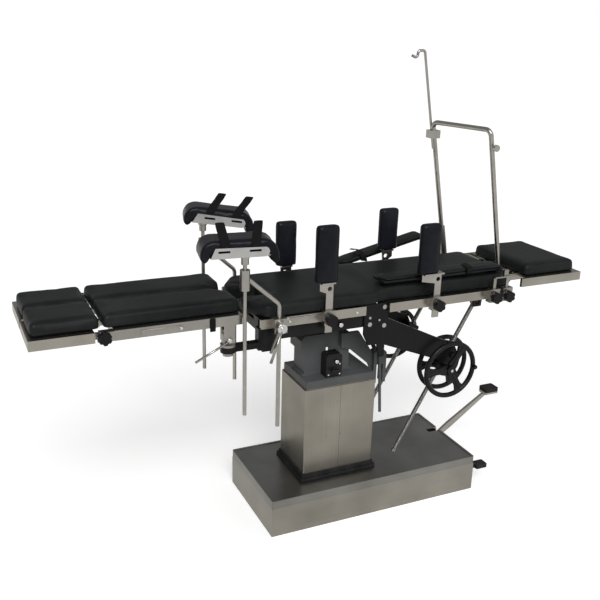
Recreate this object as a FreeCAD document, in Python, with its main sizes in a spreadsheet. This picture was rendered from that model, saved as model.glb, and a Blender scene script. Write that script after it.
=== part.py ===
import FreeCAD, Part
import math
import os
import Sketcher
from FreeCAD import Placement, Rotation, Vector

# Operating table, mechanical type. Millimetres, +Z up.
# The origin is the centre of the base's footprint on the floor. +X is the head end, -Y the near side.

# Driving dimensions. X, Y and Z places are measured from the origin.
SIZES = {
    # base box and its lid
    "base_length": 850.0,
    "base_width": 400.0,
    "base_height": 142.0,
    "base_plate_thick": 30.0,
    "lid_skirt": 30.0,
    "sheet_wall": 2.0,
    "sheet_gap": 0.3,
    "base_corner": 6.0,
    "lid_rim": 9.0,
    "button_radius": 4.0,
    # telescopic column
    "column_x": -123.0,
    "column_length": 283.0,
    "column_width": 208.0,
    "column_top": 494.0,
    "column_corner": 4.0,
    "half_gap": 0.4,
    "cover_screw_high": 430.0,
    "cover_screw_low": 300.0,
    "cover_screw_side": 50.0,
    "skirt_step": 6.0,
    "skirt_low": 10.0,
    "skirt_high": 22.0,
    "cylinder_radius": 60.0,
    "ram_radius": 45.0,
    "running_fit": 0.1,
    "ram_foot": 80.0,
    "ram_floor": 20.0,
    "cylinder_top": 440.0,
    "sleeve_foot": 180.0,
    "sleeve_clear": 1.0,
    "cap_lift": 3.0,
    "cap_thick": 28.0,
    "cap_inset": 5.0,
    "clearance": 1.0,
    # foot pedals at the head end of the base
    "pump_y": 50.0,
    "pump_inset": 25.0,
    "pump_pivot_z": 100.0,
    "pump_reach": 300.0,
    "pump_rise": 34.0,
    "pump_bar_height": 26.0,
    "pump_bar_width": 12.0,
    "pump_pad_length": 62.0,
    "pump_pad_width": 52.0,
    "pump_pad_thick": 16.0,
    "release_y": -172.0,
    "release_inset": 29.0,
    "release_z": 78.0,
    "release_reach": 104.0,
    "release_bar": 12.0,
    "release_pad_length": 84.0,
    "release_pad_width": 40.0,
    "pedal_clear": 6.0,
    "pedal_hollow": 52.0,
    "pocket_floor": 30.0,
    "rib": 18.0,
    "pivot_radius": 5.0,
    # tilting head on the column
    "pillar_half": 45.0,
    "pillar_top": 676.0,
    "tilt_z": 650.0,
    "tilt_shaft": 22.0,
    "left_pillar_x": -243.0,
    "left_pillar_wide": 83.0,
    "right_pillar_x": -106.0,
    "right_pillar_wide": 40.0,
    "pillar_waist": 8.0,
    "pillar_flange": 8.0,
    "shoulder_z": 606.0,
    "trunnion_x": -133.0,
    "trunnion_z": 712.0,
    "trunnion_radius": 18.0,
    "trunnion_half": 80.0,
    "hub_depth": 40.0,
    "gearbox_wide": 62.0,
    "gearbox_high": 87.0,
    "gearbox_deep": 44.0,
    "gearbox_lap": 18.0,
    "crank_rise": 28.0,
    "tee_half": 16.0,
    "jack_plate": 12.0,
    "clevis_x": 27.0,
    "clevis_wide": 53.0,
    "clevis_deep": 36.0,
    "clevis_foot": 461.0,
    "clevis_top": 587.0,
    "clevis_cap": 33.0,
    "jack_arm_knee": -34.0,
    "tilt_screw_in": 18.0,
    "tilt_screw_foot": 343.0,
    "tilt_screw_length": 290.0,
    "tilt_screw_radius": 5.5,
    "tilt_screw_lean": 3.8,
    # side rails and the sections of the top
    "rail_half": 188.0,
    "rail_thick": 10.0,
    "rail_high": 32.0,
    "low_rail_top": 815.0,
    "high_rail_top": 843.0,
    "deck_thick": 6.0,
    "pad_round": 15.0,
    # seat section
    "seat_rail_left": -470.0,
    "seat_rail_right": -85.0,
    "beam_left": -455.0,
    "beam_right": -40.0,
    "beam_half": 150.0,
    "beam_thick": 20.0,
    "beam_top": 775.0,
    "beam_high": 42.0,
    "beam_nose": 79.0,
    "seat_pad_left": -498.0,
    "seat_pad_corner": -447.0,
    "seat_pad_right": -55.0,
    "seat_pad_half": 182.0,
    "seat_pad_top": 860.0,
    "notch_half": 52.0,
    "notch_deep": 93.0,
    "lug_half": 50.0,
    "lug_thick": 12.0,
    # back section
    "back_hinge_x": -5.0,
    "back_hinge_z": 800.0,
    "hinge_pin": 8.0,
    "hinge_plate": 8.0,
    "back_rail_left": 8.0,
    "back_rail_right": 515.0,
    "back_frame_right": 530.0,
    "back_bar_half": 146.0,
    "back_bar_thick": 12.0,
    "back_pad_left": 1.0,
    "back_pad_right": 540.0,
    "back_pad_half": 164.0,
    "back_pad_top": 870.0,
    # head section
    "head_hinge_x": 585.0,
    "head_hinge_z": 827.0,
    "head_pin": 6.0,
    "head_rail_right": 850.0,
    "head_pad_left": 600.0,
    "head_pad_right": 845.0,
    "flat_pad_half": 165.0,
    "flat_pad_top": 886.0,
    # leg and foot sections
    "leg_pivot_x": -575.0,
    "leg_pivot_y": 168.0,
    "leg_hinge_z": 770.0,
    "leg_pin": 8.0,
    "swivel_pin": 12.0,
    "leg_arm_top": 736.0,
    "leg_arm_thick": 20.0,
    "leg_block": 25.0,
    "leg_rail_right": -533.0,
    "leg_rail_left": -937.0,
    "leg_pad_right": -525.0,
    "leg_pad_left": -965.0,
    "pad_split": 4.0,
    "foot_hinge_x": -968.0,
    "foot_rail_left": -1184.0,
    "foot_rail_right": -994.0,
    "lock_clear": 7.0,
    "foot_pad_left": -1160.0,
    "foot_pad_right": -972.0,
    # back lifting screws, their gearboxes and the handwheels
    "screw_x": 303.0,
    "screw_z": 571.0,
    "screw_y": 130.0,
    "screw_lean": 29.0,
    "screw_radius": 8.0,
    "screw_above": 215.0,
    "screw_below": 425.0,
    "arm_half": 154.0,
    "arm_thick": 12.0,
    "drive_deep": 35.0,
    "wheel_x": 273.0,
    "wheel_z": 531.0,
    "wheel_y": 200.0,
    "wheel_radius": 101.0,
    "rim_radius": 9.0,
    "wheel_hub": 17.0,
    "wheel_shaft": 8.0,
    "rear_wheel_x": 310.0,
    "rear_wheel_z": 515.0,
    "rear_wheel_y": 96.0,
    # clamps, supports and accessories on the rails
    "clamp_wide": 42.0,
    "clamp_deep": 21.0,
    "clamp_high": 50.0,
    "post_wide": 26.0,
    "post_thick": 6.0,
    "post_y": 195.0,
    "post_clear": 0.5,
    "knob_radius": 20.5,
    "knob_deep": 20.0,
    "support_pad_wide": 86.0,
    "support_pad_thick": 36.0,
    "holder_x": -414.0,
    "holder_y": 205.0,
    "holder_rod": 7.0,
    "holder_foot": 438.0,
    "holder_clamp": 22.0,
    "holder_bend": 868.0,
    "holder_bend_radius": 25.0,
    "holder_lever": 100.0,
    "lever_lean": 202.0,
    "rest_collar_low": 929.0,
    "rest_collar_high": 995.0,
    "rest_inset": 14.0,
    "rest_spread": 64.0,
    "rest_x": -532.0,
    "rest_post": 6.5,
    "rest_post_foot": 500.0,
    "rest_swivel": 16.0,
    "rest_plate_z": 1036.0,
    "rest_plate_thick": 14.0,
    "rest_centre_z": 958.0,
    "rest_cut": 62.0,
    "rest_plate_long": 190.0,
    "rest_arch_radius": 150.0,
    "rest_arch_deep": 120.0,
    "rest_arch_thick": 24.0,
    "rest_arch_tilt": 6.0,
    "near_board_pivot": 484.0,
    "near_board_z": 880.5,
    "near_board_edge": 175.0,
    "near_board_long": 500.0,
    "far_board_pivot": 404.0,
    "far_board_z": 907.0,
    "far_board_edge": 228.0,
    "far_board_long": 380.0,
    "far_board_tilt": 12.7,
    "arm_pad_wide": 84.0,
    "arm_pad_thick": 17.0,
    "board_lug": 9.5,
    "screen_top_x": 390.0,
    "screen_y": 206.0,
    "screen_foot": 792.0,
    "screen_lean": 10.7,
    "screen_rod": 9.0,
    "screen_near_x": 68.0,
    "screen_near_y": -62.0,
    "screen_near_foot": 838.0,
    "screen_top": 1373.0,
    "screen_bend": 24.0,
    "frame_bar": 20.0,
    "spacer_radius": 7.0,
    "frame_left": -470.0,
    "frame_right": -38.0,
    "cross_left": -233.0,
    "cross_right": -66.0,
    "bracket_foot": 716.0,
    "lug_foot": 690.0,
    "hinge_plate_left": -82.0,
    "hinge_plate_right": 3.0,
    "hinge_plate_top": 814.5,
    "hinge_plate_foot": 665.0,
    "hinge_tail_foot": 615.0,
    "arm_root_top": 759.0,
    "arm_root_low": 672.0,
    "arm_tip_rise": 52.0,
    "arm_tip_drop": 16.0,
    "lip": 5.0,
    "eye_radius": 16.0,
    "eye_thick": 18.0,
    "shelf_x": 405.0,
    "shelf_half": 10.0,
    "lift_lug_y": 141.0,
    "lift_lug_thick": 8.0,
    "head_lug_y": 94.0,
    "end_bar": 10.0,
    "near_seat_post": -232.0,
    "near_seat_pad": -247.0,
    "near_seat_foot": 923.0,
    "near_seat_high": 192.0,
    "near_back_post": 190.0,
    "near_back_pad": 145.0,
    "near_back_foot": 912.0,
    "near_back_high": 178.0,
    "far_seat_post": -222.0,
    "far_seat_pad": -216.0,
    "far_seat_foot": 869.0,
    "far_seat_high": 168.0,
    "far_back_post": 208.0,
    "far_back_pad": 215.0,
    "far_back_foot": 891.0,
    "far_back_high": 165.0,
    "support_post_foot": 745.0,
    "board_post": 8.0,
    "board_leg": 12.0,
    "board_leg_left": 436.0,
    "board_leg_right": 492.0,
    "sleeve_top": 960.0,
    "iv_rod": 5.0,
    "iv_foot": 1270.0,
    "iv_grip_low": 1312.0,
    "iv_grip_top": 1342.0,
    "screen_hook_z": 1312.0,
    "iv_top": 1632.0,
    "iv_hook": 9.0,
}

doc = FreeCAD.newDocument("operating_table")
sheet = doc.addObject("Spreadsheet::Sheet", "sizes")
for row, (alias, value) in enumerate(SIZES.items(), start=1):
    sheet.set(f"A{row}", alias)
    sheet.set(f"B{row}", str(value))
    sheet.setAlias(f"B{row}", alias)
doc.recompute()


class Dim:
    """A length or angle that holds its number and the sheet expression that gives it."""

    def __init__(self, number, words):
        self.number = number
        self.words = words

    def __add__(self, other):
        return Dim(self.number + number(other), f"({self.words} + {words(other)})")

    def __radd__(self, other):
        return Dim(number(other) + self.number, f"({words(other)} + {self.words})")

    def __sub__(self, other):
        return Dim(self.number - number(other), f"({self.words} - {words(other)})")

    def __rsub__(self, other):
        return Dim(number(other) - self.number, f"({words(other)} - {self.words})")

    def __mul__(self, factor):
        return Dim(self.number * number(factor), f"({self.words} * {words(factor)})")

    __rmul__ = __mul__

    def __truediv__(self, divisor):
        return Dim(self.number / number(divisor), f"({self.words} / {words(divisor)})")

    def __neg__(self):
        return Dim(-self.number, f"(0 - {self.words})")


def number(value):
    return value.number if isinstance(value, Dim) else float(value)


def words(value):
    return value.words if isinstance(value, Dim) else f"({float(value)!r})"


def size(alias):
    return Dim(float(sheet.get(alias)), f"sizes.{alias}")


NEAR, FAR = -1, 1
SIDES = ((NEAR, "near"), (FAR, "far"))
TURNS = {
    "x": Rotation(Vector(0, 1, 0), 90),
    "y": Rotation(Vector(1, 0, 0), -90),
    "z": Rotation(),
}


def bind(thing, path, value):
    if isinstance(value, Dim):
        thing.setExpression(path, value.words)


def put(thing, place, turn=Rotation()):
    """Places a thing at a point, with each coordinate bound to the sheet."""
    thing.Placement = Placement(Vector(*[number(c) for c in place]), turn)
    for axis, coordinate in zip("xyz", place):
        bind(thing, f"Placement.Base.{axis}", coordinate)
    return thing


def box(name, low, high):
    """A block between two opposite corners."""
    thing = doc.addObject("Part::Box", name)
    for side, a, b in zip(("Length", "Width", "Height"), low, high):
        length = b - a
        setattr(thing, side, number(length))
        bind(thing, side, length)
    return put(thing, low)


def rod(name, foot, radius, length, way="z"):
    """A round bar that starts at foot and runs along +X, +Y or +Z."""
    thing = doc.addObject("Part::Cylinder", name)
    thing.Radius = number(radius)
    thing.Height = number(length)
    bind(thing, "Radius", radius)
    bind(thing, "Height", length)
    return put(thing, foot, TURNS[way])


def leaning_rod(name, foot, radius, length, angle, axis=Vector(0, 1, 0)):
    """A round bar that starts upright at foot and leans by an angle about an axis."""
    thing = rod(name, foot, radius, length)
    thing.Placement.Rotation = Rotation(axis, number(angle))
    bind(thing, "Placement.Rotation.Angle", angle)
    return thing


def ring(name, centre, radius, section, way="y"):
    thing = doc.addObject("Part::Torus", name)
    thing.Radius1 = number(radius)
    thing.Radius2 = number(section)
    bind(thing, "Radius1", radius)
    bind(thing, "Radius2", section)
    return put(thing, centre, TURNS[way])


def fuse(name, pieces):
    thing = doc.addObject("Part::MultiFuse", name)
    thing.Shapes = pieces
    thing.Refine = True
    return thing


def cut(name, base, tools):
    thing = doc.addObject("Part::Cut", name)
    thing.Base = base
    thing.Tool = tools[0] if len(tools) == 1 else fuse(f"{name}_tools", tools)
    thing.Refine = True
    return thing


def group(name, pieces):
    """Separate solids that share one node."""
    thing = doc.addObject("Part::Compound", name)
    thing.Links = pieces
    return thing


def cosine(angle):
    return Dim(math.cos(math.radians(number(angle))), f"cos({words(angle)})")


def sine(angle):
    return Dim(math.sin(math.radians(number(angle))), f"sin({words(angle)})")


def along(start, angle, distance, rise=0):
    """A point in XZ at a distance along a slope from start, and a rise square to it."""
    across = cosine(angle)
    up = sine(angle)
    return (start[0] + distance * across - rise * up, start[1] + distance * up + rise * across)


def origin_plane(body, role):
    return next(f for f in body.Origin.OriginFeatures if f.Role == role)


def loop(sketch, points):
    """A closed run of lines, each corner held to the sheet by its two coordinates."""
    first = sketch.GeometryCount
    count = len(points)
    spots = [Vector(number(a), number(b), 0) for a, b in points]
    for i in range(count):
        sketch.addGeometry(Part.LineSegment(spots[i], spots[(i + 1) % count]))
    for i in range(count):
        sketch.addConstraint(
            Sketcher.Constraint("Coincident", first + i, 2, first + (i + 1) % count, 1)
        )
    for i, point in enumerate(points):
        for kind, value in zip(("DistanceX", "DistanceY"), point):
            limit = Sketcher.Constraint(kind, -1, 1, first + i, 1, number(value))
            index = sketch.addConstraint(limit)
            bind(sketch, f"Constraints[{index}]", value)


def hole(sketch, centre, radius):
    """A circle in a sketch, held to the sheet by its centre and radius."""
    spot = Vector(number(centre[0]), number(centre[1]), 0)
    circle = sketch.addGeometry(Part.Circle(spot, Vector(0, 0, 1), number(radius)))
    for kind, value in zip(("DistanceX", "DistanceY"), centre):
        index = sketch.addConstraint(Sketcher.Constraint(kind, -1, 1, circle, 3, number(value)))
        bind(sketch, f"Constraints[{index}]", value)
    index = sketch.addConstraint(Sketcher.Constraint("Radius", circle, number(radius)))
    bind(sketch, f"Constraints[{index}]", radius)


def slab(name, plane, outline, start, thick, holes=(), rounds=(), inner=()):
    """An outline drawn on XY, XZ or YZ and given its thickness along +Z, +Y or +X from start.

    rounds lists (radius, corners), with each corner one of the outline's or inner's points.
    """
    body = doc.addObject("PartDesign::Body", name)
    sketch = body.newObject("Sketcher::SketchObject", f"{name}_outline")
    sketch.AttachmentSupport = [(origin_plane(body, f"{plane}_Plane"), "")]
    sketch.MapMode = "FlatFace"
    loop(sketch, outline)
    if inner:
        loop(sketch, inner)
    for centre, radius in holes:
        hole(sketch, centre, radius)
    pad = body.newObject("PartDesign::Pad", f"{name}_thickness")
    pad.Profile = sketch
    pad.Length = number(thick)
    bind(pad, "Length", thick)
    pad.Reversed = plane == "XZ"
    body.Tip = pad
    spots = {"XY": (0, 0, start), "XZ": (0, start, 0), "YZ": (start, 0, 0)}
    put(body, spots[plane])
    for index, (radius, corners) in enumerate(rounds):
        round_corners(body, plane, corners, radius, f"{name}_round_{index}")
    return body


def round_corners(body, plane, corners, radius, name):
    """Rounds the edges that run through the thickness at the given corners of the outline."""
    doc.recompute()
    base = body.Tip
    across = {"XY": (0, 1), "XZ": (0, 2), "YZ": (1, 2)}[plane]
    names = []
    for i, edge in enumerate(base.Shape.Edges, start=1):
        ends = [v.Point for v in edge.Vertexes]
        if len(ends) != 2:
            continue
        flat = [(p[across[0]], p[across[1]]) for p in ends]
        if math.dist(*flat) > 1e-6:
            continue
        if any(math.dist(flat[0], (number(a), number(b))) < 0.01 for a, b in corners):
            names.append(f"Edge{i}")
    fillet = body.newObject("PartDesign::Fillet", name)
    fillet.Base = (base, names)
    fillet.Radius = number(radius)
    bind(fillet, "Radius", radius)
    body.Tip = fillet


def soften(body, radius, low, name):
    """Rounds the edges of a pad's upper face, and of its lower face too when low is set."""
    doc.recompute()
    base = body.Tip
    box_of = base.Shape.BoundBox
    levels = [box_of.ZMax, box_of.ZMin] if low else [box_of.ZMax]
    names = []
    for i, edge in enumerate(base.Shape.Edges, start=1):
        if any(abs(edge.BoundBox.ZMin - z) < 1e-4 > abs(edge.BoundBox.ZMax - z) for z in levels):
            names.append(f"Edge{i}")
    fillet = body.newObject("PartDesign::Fillet", name)
    fillet.Base = (base, names)
    fillet.Radius = number(radius)
    bind(fillet, "Radius", radius)
    body.Tip = fillet
    return body


def rectangle(a0, b0, a1, b1):
    return [(a0, b0), (a1, b0), (a1, b1), (a0, b1)]


def side_span(side, inner, outer):
    """The low and high Y of something between two distances from the middle, on one side."""
    return (-outer, -inner) if side == NEAR else (inner, outer)


def bent_bar(points, radius, bend):
    """A round bar along straight runs joined by tangent arcs of one radius."""
    spots = [Vector(*[number(c) for c in p]) for p in points]
    edges = []
    start = spots[0]
    for before, corner, after in zip(spots, spots[1:], spots[2:]):
        way_in = (corner - before).normalize()
        way_out = (after - corner).normalize()
        half = way_in.getAngle(way_out) / 2
        reach = number(bend) * math.tan(half)
        enter = corner - way_in * reach
        leave = corner + way_out * reach
        to_middle = (way_out - way_in).normalize()
        middle = corner + to_middle * (number(bend) / math.cos(half) - number(bend))
        edges.append(Part.LineSegment(start, enter).toShape())
        edges.append(Part.Arc(enter, middle, leave).toShape())
        start = leave
    edges.append(Part.LineSegment(start, spots[-1]).toShape())
    path = Part.Wire(edges)
    section = Part.Wire([Part.makeCircle(number(radius), spots[0], spots[1] - spots[0])])
    return path.makePipeShell([section], True, False)


def shaped(name, shape):
    thing = doc.addObject("Part::Feature", name)
    thing.Shape = shape
    return thing


NODES = []


def node(thing, label):
    """Marks a finished sub-part; its label names its file."""
    thing.Label = label
    NODES.append(thing)
    return thing


def star_knob(name, centre_x, centre_z, face, side):
    """A six-lobed clamping knob that stands on a face square to Y."""
    deep = size("knob_deep")
    radius = size("knob_radius")
    start = face if side == FAR else face - deep
    disc = rod(f"{name}_disc", (centre_x, start, centre_z), radius, deep, "y")
    bites = []
    for i in range(6):
        angle = math.radians(60 * i)
        spot = (
            centre_x + radius * 1.16 * math.cos(angle),
            start,
            centre_z + radius * 1.16 * math.sin(angle),
        )
        bites.append(rod(f"{name}_bite_{i}", spot, radius * 0.32, deep, "y"))
    return cut(name, disc, bites)


FIT = size("running_fit")
GAP = size("sheet_gap")
WALL = size("sheet_wall")
PIN = size("pivot_radius")


# base
half_length = size("base_length") / 2
half_width = size("base_width") / 2
base_top = size("base_height")
seam_z = base_top - size("lid_skirt")
column_x = size("column_x")
column_half = size("column_length") / 2
column_side = size("column_width") / 2
cylinder = size("cylinder_radius")
inside = WALL + GAP
floor_z = size("base_plate_thick")


def pedal_hollow(name, y, bar):
    """The hollow in the base's end that a pedal lever swings in."""
    reach = bar / 2 + size("pedal_clear")
    start = half_length - size("pedal_hollow")
    high = base_top + size("pedal_clear")
    top = high if name.startswith("pump") else size("release_z") + size("pedal_clear") * 3
    foot = size("release_z") - size("pedal_clear") * 4
    return box(name, (start, y - reach, foot), (half_length + 1, y + reach, top))


pump_y = size("pump_y")
release_y = size("release_y")
pump_bar = size("pump_bar_width")
release_bar = size("release_bar")

casting_block = box(
    "casting_block",
    (-half_length + inside, -half_width + inside, 0),
    (half_length - inside, half_width - inside, seam_z - GAP),
)
pockets = [
    rod("cylinder_socket", (column_x, 0, floor_z), cylinder + GAP, base_top),
    pedal_hollow("pump_hollow", pump_y, pump_bar),
    pedal_hollow("release_hollow", release_y, release_bar),
]
rib = size("rib")
first_pocket = column_x + cylinder + rib
pocket_long = (half_length - size("pedal_hollow") - rib * 2 - first_pocket) / 2
for i, start in enumerate(
    (-half_length + inside + rib, first_pocket, first_pocket + pocket_long + rib)
):
    for side, name in SIDES:
        low, high = side_span(side, rib / 2, half_width - inside - rib * 2)
        pockets.append(
            box(
                f"pocket_{name}_{i}",
                (start, low, size("pocket_floor")),
                (start + pocket_long, high, base_top),
            )
        )
casting_cut = cut("casting_cut", casting_block, pockets)
pump_x = half_length - size("pump_inset")
pump_z = size("pump_pivot_z")
release_x = half_length - size("release_inset")
release_z = size("release_z")
pump_reach_y = pump_bar / 2 + size("pedal_clear") + 1
release_reach_y = release_bar / 2 + size("pedal_clear") + 1
node(
    fuse(
        "casting",
        [
            casting_cut,
            rod("pump_pin", (pump_x, pump_y - pump_reach_y, pump_z), PIN, pump_reach_y * 2, "y"),
            rod(
                "release_pin",
                (release_x, release_y - release_reach_y, release_z),
                PIN,
                release_reach_y * 2,
                "y",
            ),
        ],
    ),
    "base_casting",
)

corner = size("base_corner")
skirt_walls = slab(
    "skirt_walls",
    "XY",
    rectangle(-half_length, -half_width, half_length, half_width),
    0,
    seam_z - GAP,
    inner=rectangle(
        -half_length + WALL, -half_width + WALL, half_length - WALL, half_width - WALL
    ),
)
node(
    cut(
        "skirt_cut",
        skirt_walls,
        [
            pedal_hollow("pump_skirt_slot", pump_y, pump_bar),
            pedal_hollow("release_skirt_slot", release_y, release_bar),
        ],
    ),
    "base_side_panels",
)

lid_outline = rectangle(-half_length, -half_width, half_length, half_width)
lid_block = slab(
    "lid_block", "XY", lid_outline, seam_z, size("lid_skirt"), rounds=[(corner, lid_outline)]
)
recess = size("lid_rim")
node(
    cut(
        "lid_cut",
        lid_block,
        [
            box(
                "lid_hollow",
                (-half_length + WALL * 2, -half_width + WALL * 2, seam_z - 1),
                (half_length - WALL * 2, half_width - WALL * 2, base_top - WALL * 3),
            ),
            box(
                "lid_recess",
                (-half_length + recess, -half_width + recess, base_top - WALL),
                (half_length - recess, half_width - recess, base_top + 1),
            ),
            rod("lid_hole", (column_x, 0, seam_z), cylinder + GAP, base_top),
            pedal_hollow("pump_lid_slot", pump_y, pump_bar),
        ],
    ),
    "base_lid",
)
deck_z = base_top - WALL

# column covers: two folded sheets that meet at a seam in the middle of each long face
covers = []
for side, name in ((-1, "left"), (1, "right")):
    outer = column_x + column_half * side
    inner = outer - WALL * side
    seam = column_x + size("half_gap") * side
    corners = [(outer, -column_side), (outer, column_side)]
    covers.append(
        slab(
            f"cover_{name}",
            "XY",
            [
                (seam, -column_side),
                corners[0],
                corners[1],
                (seam, column_side),
                (seam, column_side - WALL),
                (inner, column_side - WALL),
                (inner, -column_side + WALL),
                (seam, -column_side + WALL),
            ],
            deck_z,
            size("column_top") - deck_z,
            rounds=[(size("column_corner"), corners)],
        )
    )
for i, (dx, z) in enumerate(
    (
        (-8, size("cover_screw_high")),
        (8, size("cover_screw_low")),
        (-size("cover_screw_side"), size("cover_screw_low")),
    )
):
    covers.append(
        rod(
            f"cover_screw_{i}",
            (column_x + dx, -column_side - WALL, z),
            size("button_radius"),
            WALL,
            "y",
        )
    )
node(group("covers", covers), "column_covers")

steps = []
reach = size("skirt_step")
start = deck_z
for i, (out, high) in enumerate(((reach * 2, size("skirt_low")), (reach, size("skirt_high")))):
    near_corner = column_half + GAP
    side_corner = column_side + GAP
    step_outline = rectangle(
        column_x - column_half - out,
        -column_side - out,
        column_x + column_half + out,
        column_side + out,
    )
    steps.append(
        slab(
            f"skirt_step_{i}",
            "XY",
            step_outline,
            start,
            high,
            rounds=[(reach, step_outline)],
            inner=rectangle(
                column_x - near_corner, -side_corner, column_x + near_corner, side_corner
            ),
        )
    )
node(fuse("skirt_steps", steps), "column_skirt")

# lift
ram = size("ram_radius")
cap_z = size("column_top") + size("cap_lift")
tube = rod("cylinder_tube", (column_x, 0, floor_z), cylinder, size("cylinder_top") - floor_z)
node(
    cut(
        "cylinder_cut",
        tube,
        [
            rod(
                "cylinder_bore",
                (column_x, 0, floor_z + size("ram_floor")),
                ram + FIT,
                size("column_top"),
            )
        ],
    ),
    "lift_cylinder",
)
node(
    rod("ram", (column_x, 0, size("ram_foot")), ram, cap_z - size("ram_foot")),
    "lift_ram",
)
sleeve_x = column_half - WALL - size("sleeve_clear")
sleeve_y = column_side - WALL - size("sleeve_clear")
sleeve_foot = size("sleeve_foot")
node(
    slab(
        "sleeve",
        "XY",
        rectangle(column_x - sleeve_x, -sleeve_y, column_x + sleeve_x, sleeve_y),
        sleeve_foot,
        cap_z - sleeve_foot,
        inner=rectangle(
            column_x - sleeve_x + WALL,
            -sleeve_y + WALL,
            column_x + sleeve_x - WALL,
            sleeve_y - WALL,
        ),
    ),
    "inner_sleeve",
)
cap_inset = size("cap_inset")
cap_outline = rectangle(
    column_x - column_half + cap_inset,
    -column_side + cap_inset,
    column_x + column_half - cap_inset,
    column_side - cap_inset,
)
node(
    slab(
        "cap", "XY", cap_outline, cap_z, size("cap_thick"), rounds=[(corner, cap_outline)]
    ),
    "cap_plate",
)

# tilting head: two pillars carry the lateral tilt shaft
top_z = cap_z + size("cap_thick")
tilt_z = size("tilt_z")
pillar_half = size("pillar_half")
pillar_top = size("pillar_top")
flange_z = top_z + size("pillar_flange")
waist = size("pillar_waist")
left_a = size("left_pillar_x")
left_b = left_a + size("left_pillar_wide")
right_a = size("right_pillar_x")
right_b = right_a + size("right_pillar_wide")
shoulder = size("shoulder_z")
wing = waist * 2
left_outline = [
    (left_a - waist, top_z),
    (left_b + waist, top_z),
    (left_b + waist, flange_z),
    (left_b, flange_z),
    (left_b, pillar_top),
    (left_a, pillar_top),
    (left_a - wing, pillar_top - wing),
    (left_a - wing, shoulder + wing),
    (left_a, shoulder),
    (left_a, flange_z),
    (left_a - waist, flange_z),
]
right_outline = [
    (right_a - waist / 2, top_z),
    (right_b + waist, top_z),
    (right_b + waist, flange_z),
    (right_b, flange_z),
    (right_b, pillar_top - waist),
    (right_b - waist, pillar_top),
    (right_a, pillar_top),
    (right_a, flange_z),
    (right_a - waist / 2, flange_z),
]
shaft = size("tilt_shaft")
node(
    fuse(
        "pillars",
        [
            slab("left_pillar", "XZ", left_outline, -pillar_half, pillar_half * 2),
            slab("right_pillar", "XZ", right_outline, -pillar_half, pillar_half * 2),
            rod("tilt_shaft_bar", (left_a, 0, tilt_z), shaft, right_b - left_a, "x"),
        ],
    ),
    "tilt_pillars",
)

jack_y = -pillar_half - size("jack_plate")
box_a = left_b - size("gearbox_lap")
box_b = box_a + size("gearbox_wide")
box_deep = size("gearbox_deep")
box_top = top_z + size("gearbox_high")
bevel = waist
gear_outline = [
    (box_a, top_z),
    (box_b, top_z),
    (box_b, box_top - bevel),
    (box_b - bevel, box_top),
    (box_a + bevel, box_top),
    (box_a, box_top - bevel),
]
crank_x = (box_a + box_b) / 2
crank_z = top_z + size("crank_rise")
tee = size("tee_half")
node(
    fuse(
        "tilt_gears",
        [
            slab("tilt_case", "XZ", gear_outline, -pillar_half - box_deep, box_deep),
            rod(
                "tilt_boss",
                (crank_x, -pillar_half - box_deep - waist, crank_z),
                size("pivot_radius") * 2,
                waist,
                "y",
            ),
            box(
                "tilt_tee",
                (crank_x - tee, -pillar_half - box_deep - waist * 2, crank_z - PIN),
                (crank_x + tee, -pillar_half - box_deep - waist, crank_z + PIN),
            ),
        ],
    ),
    "tilt_gearbox",
)

clevis_a = size("clevis_x")
clevis_b = clevis_a + size("clevis_wide")
clevis_low = size("clevis_foot")
clevis_top = size("clevis_top")
cap_band = size("clevis_cap")
arm_outline = [
    (right_a + waist / 4, tilt_z - shaft * 1.5),
    (right_a + waist / 4, tilt_z + shaft),
    (size("jack_arm_knee"), tilt_z + shaft),
    (clevis_a, clevis_top - waist),
    (clevis_a, clevis_top - cap_band * 2.5),
    (clevis_a - waist * 2, clevis_top - cap_band * 1.5),
    (size("jack_arm_knee") - cap_band, tilt_z - shaft * 2),
]
clevis_y = jack_y + size("jack_plate") / 2 - size("clevis_deep") / 2
slot_side = size("clevis_wide") / 4
tilt_screw = size("tilt_screw_radius")
tilt_screw_x = clevis_b - size("tilt_screw_in")
clevis_block = slab(
    "clevis_block",
    "XZ",
    [
        (clevis_a, clevis_low),
        (clevis_a + slot_side, clevis_low),
        (clevis_a + slot_side, clevis_top - cap_band * 1.6),
        (clevis_b - slot_side, clevis_top - cap_band * 1.6),
        (clevis_b - slot_side, clevis_low),
        (clevis_b, clevis_low),
        (clevis_b, clevis_top - waist),
        (clevis_b - waist, clevis_top),
        (clevis_a + waist, clevis_top),
        (clevis_a, clevis_top - waist),
    ],
    clevis_y,
    size("clevis_deep"),
)
node(
    fuse(
        "jack_arm",
        [
            slab("jack_plate_arm", "XZ", arm_outline, jack_y, size("jack_plate")),
            clevis_block,
            rod(
                "clevis_bolt",
                (clevis_a + slot_side * 2, clevis_y - waist / 2, clevis_top - cap_band),
                PIN,
                waist,
                "y",
            ),
            leaning_rod(
                "tilt_screw",
                (tilt_screw_x, clevis_y - tilt_screw * 0.9, size("tilt_screw_foot")),
                tilt_screw,
                size("tilt_screw_length"),
                -size("tilt_screw_lean"),
            ),
        ],
    ),
    "tilt_arm",
)

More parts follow.
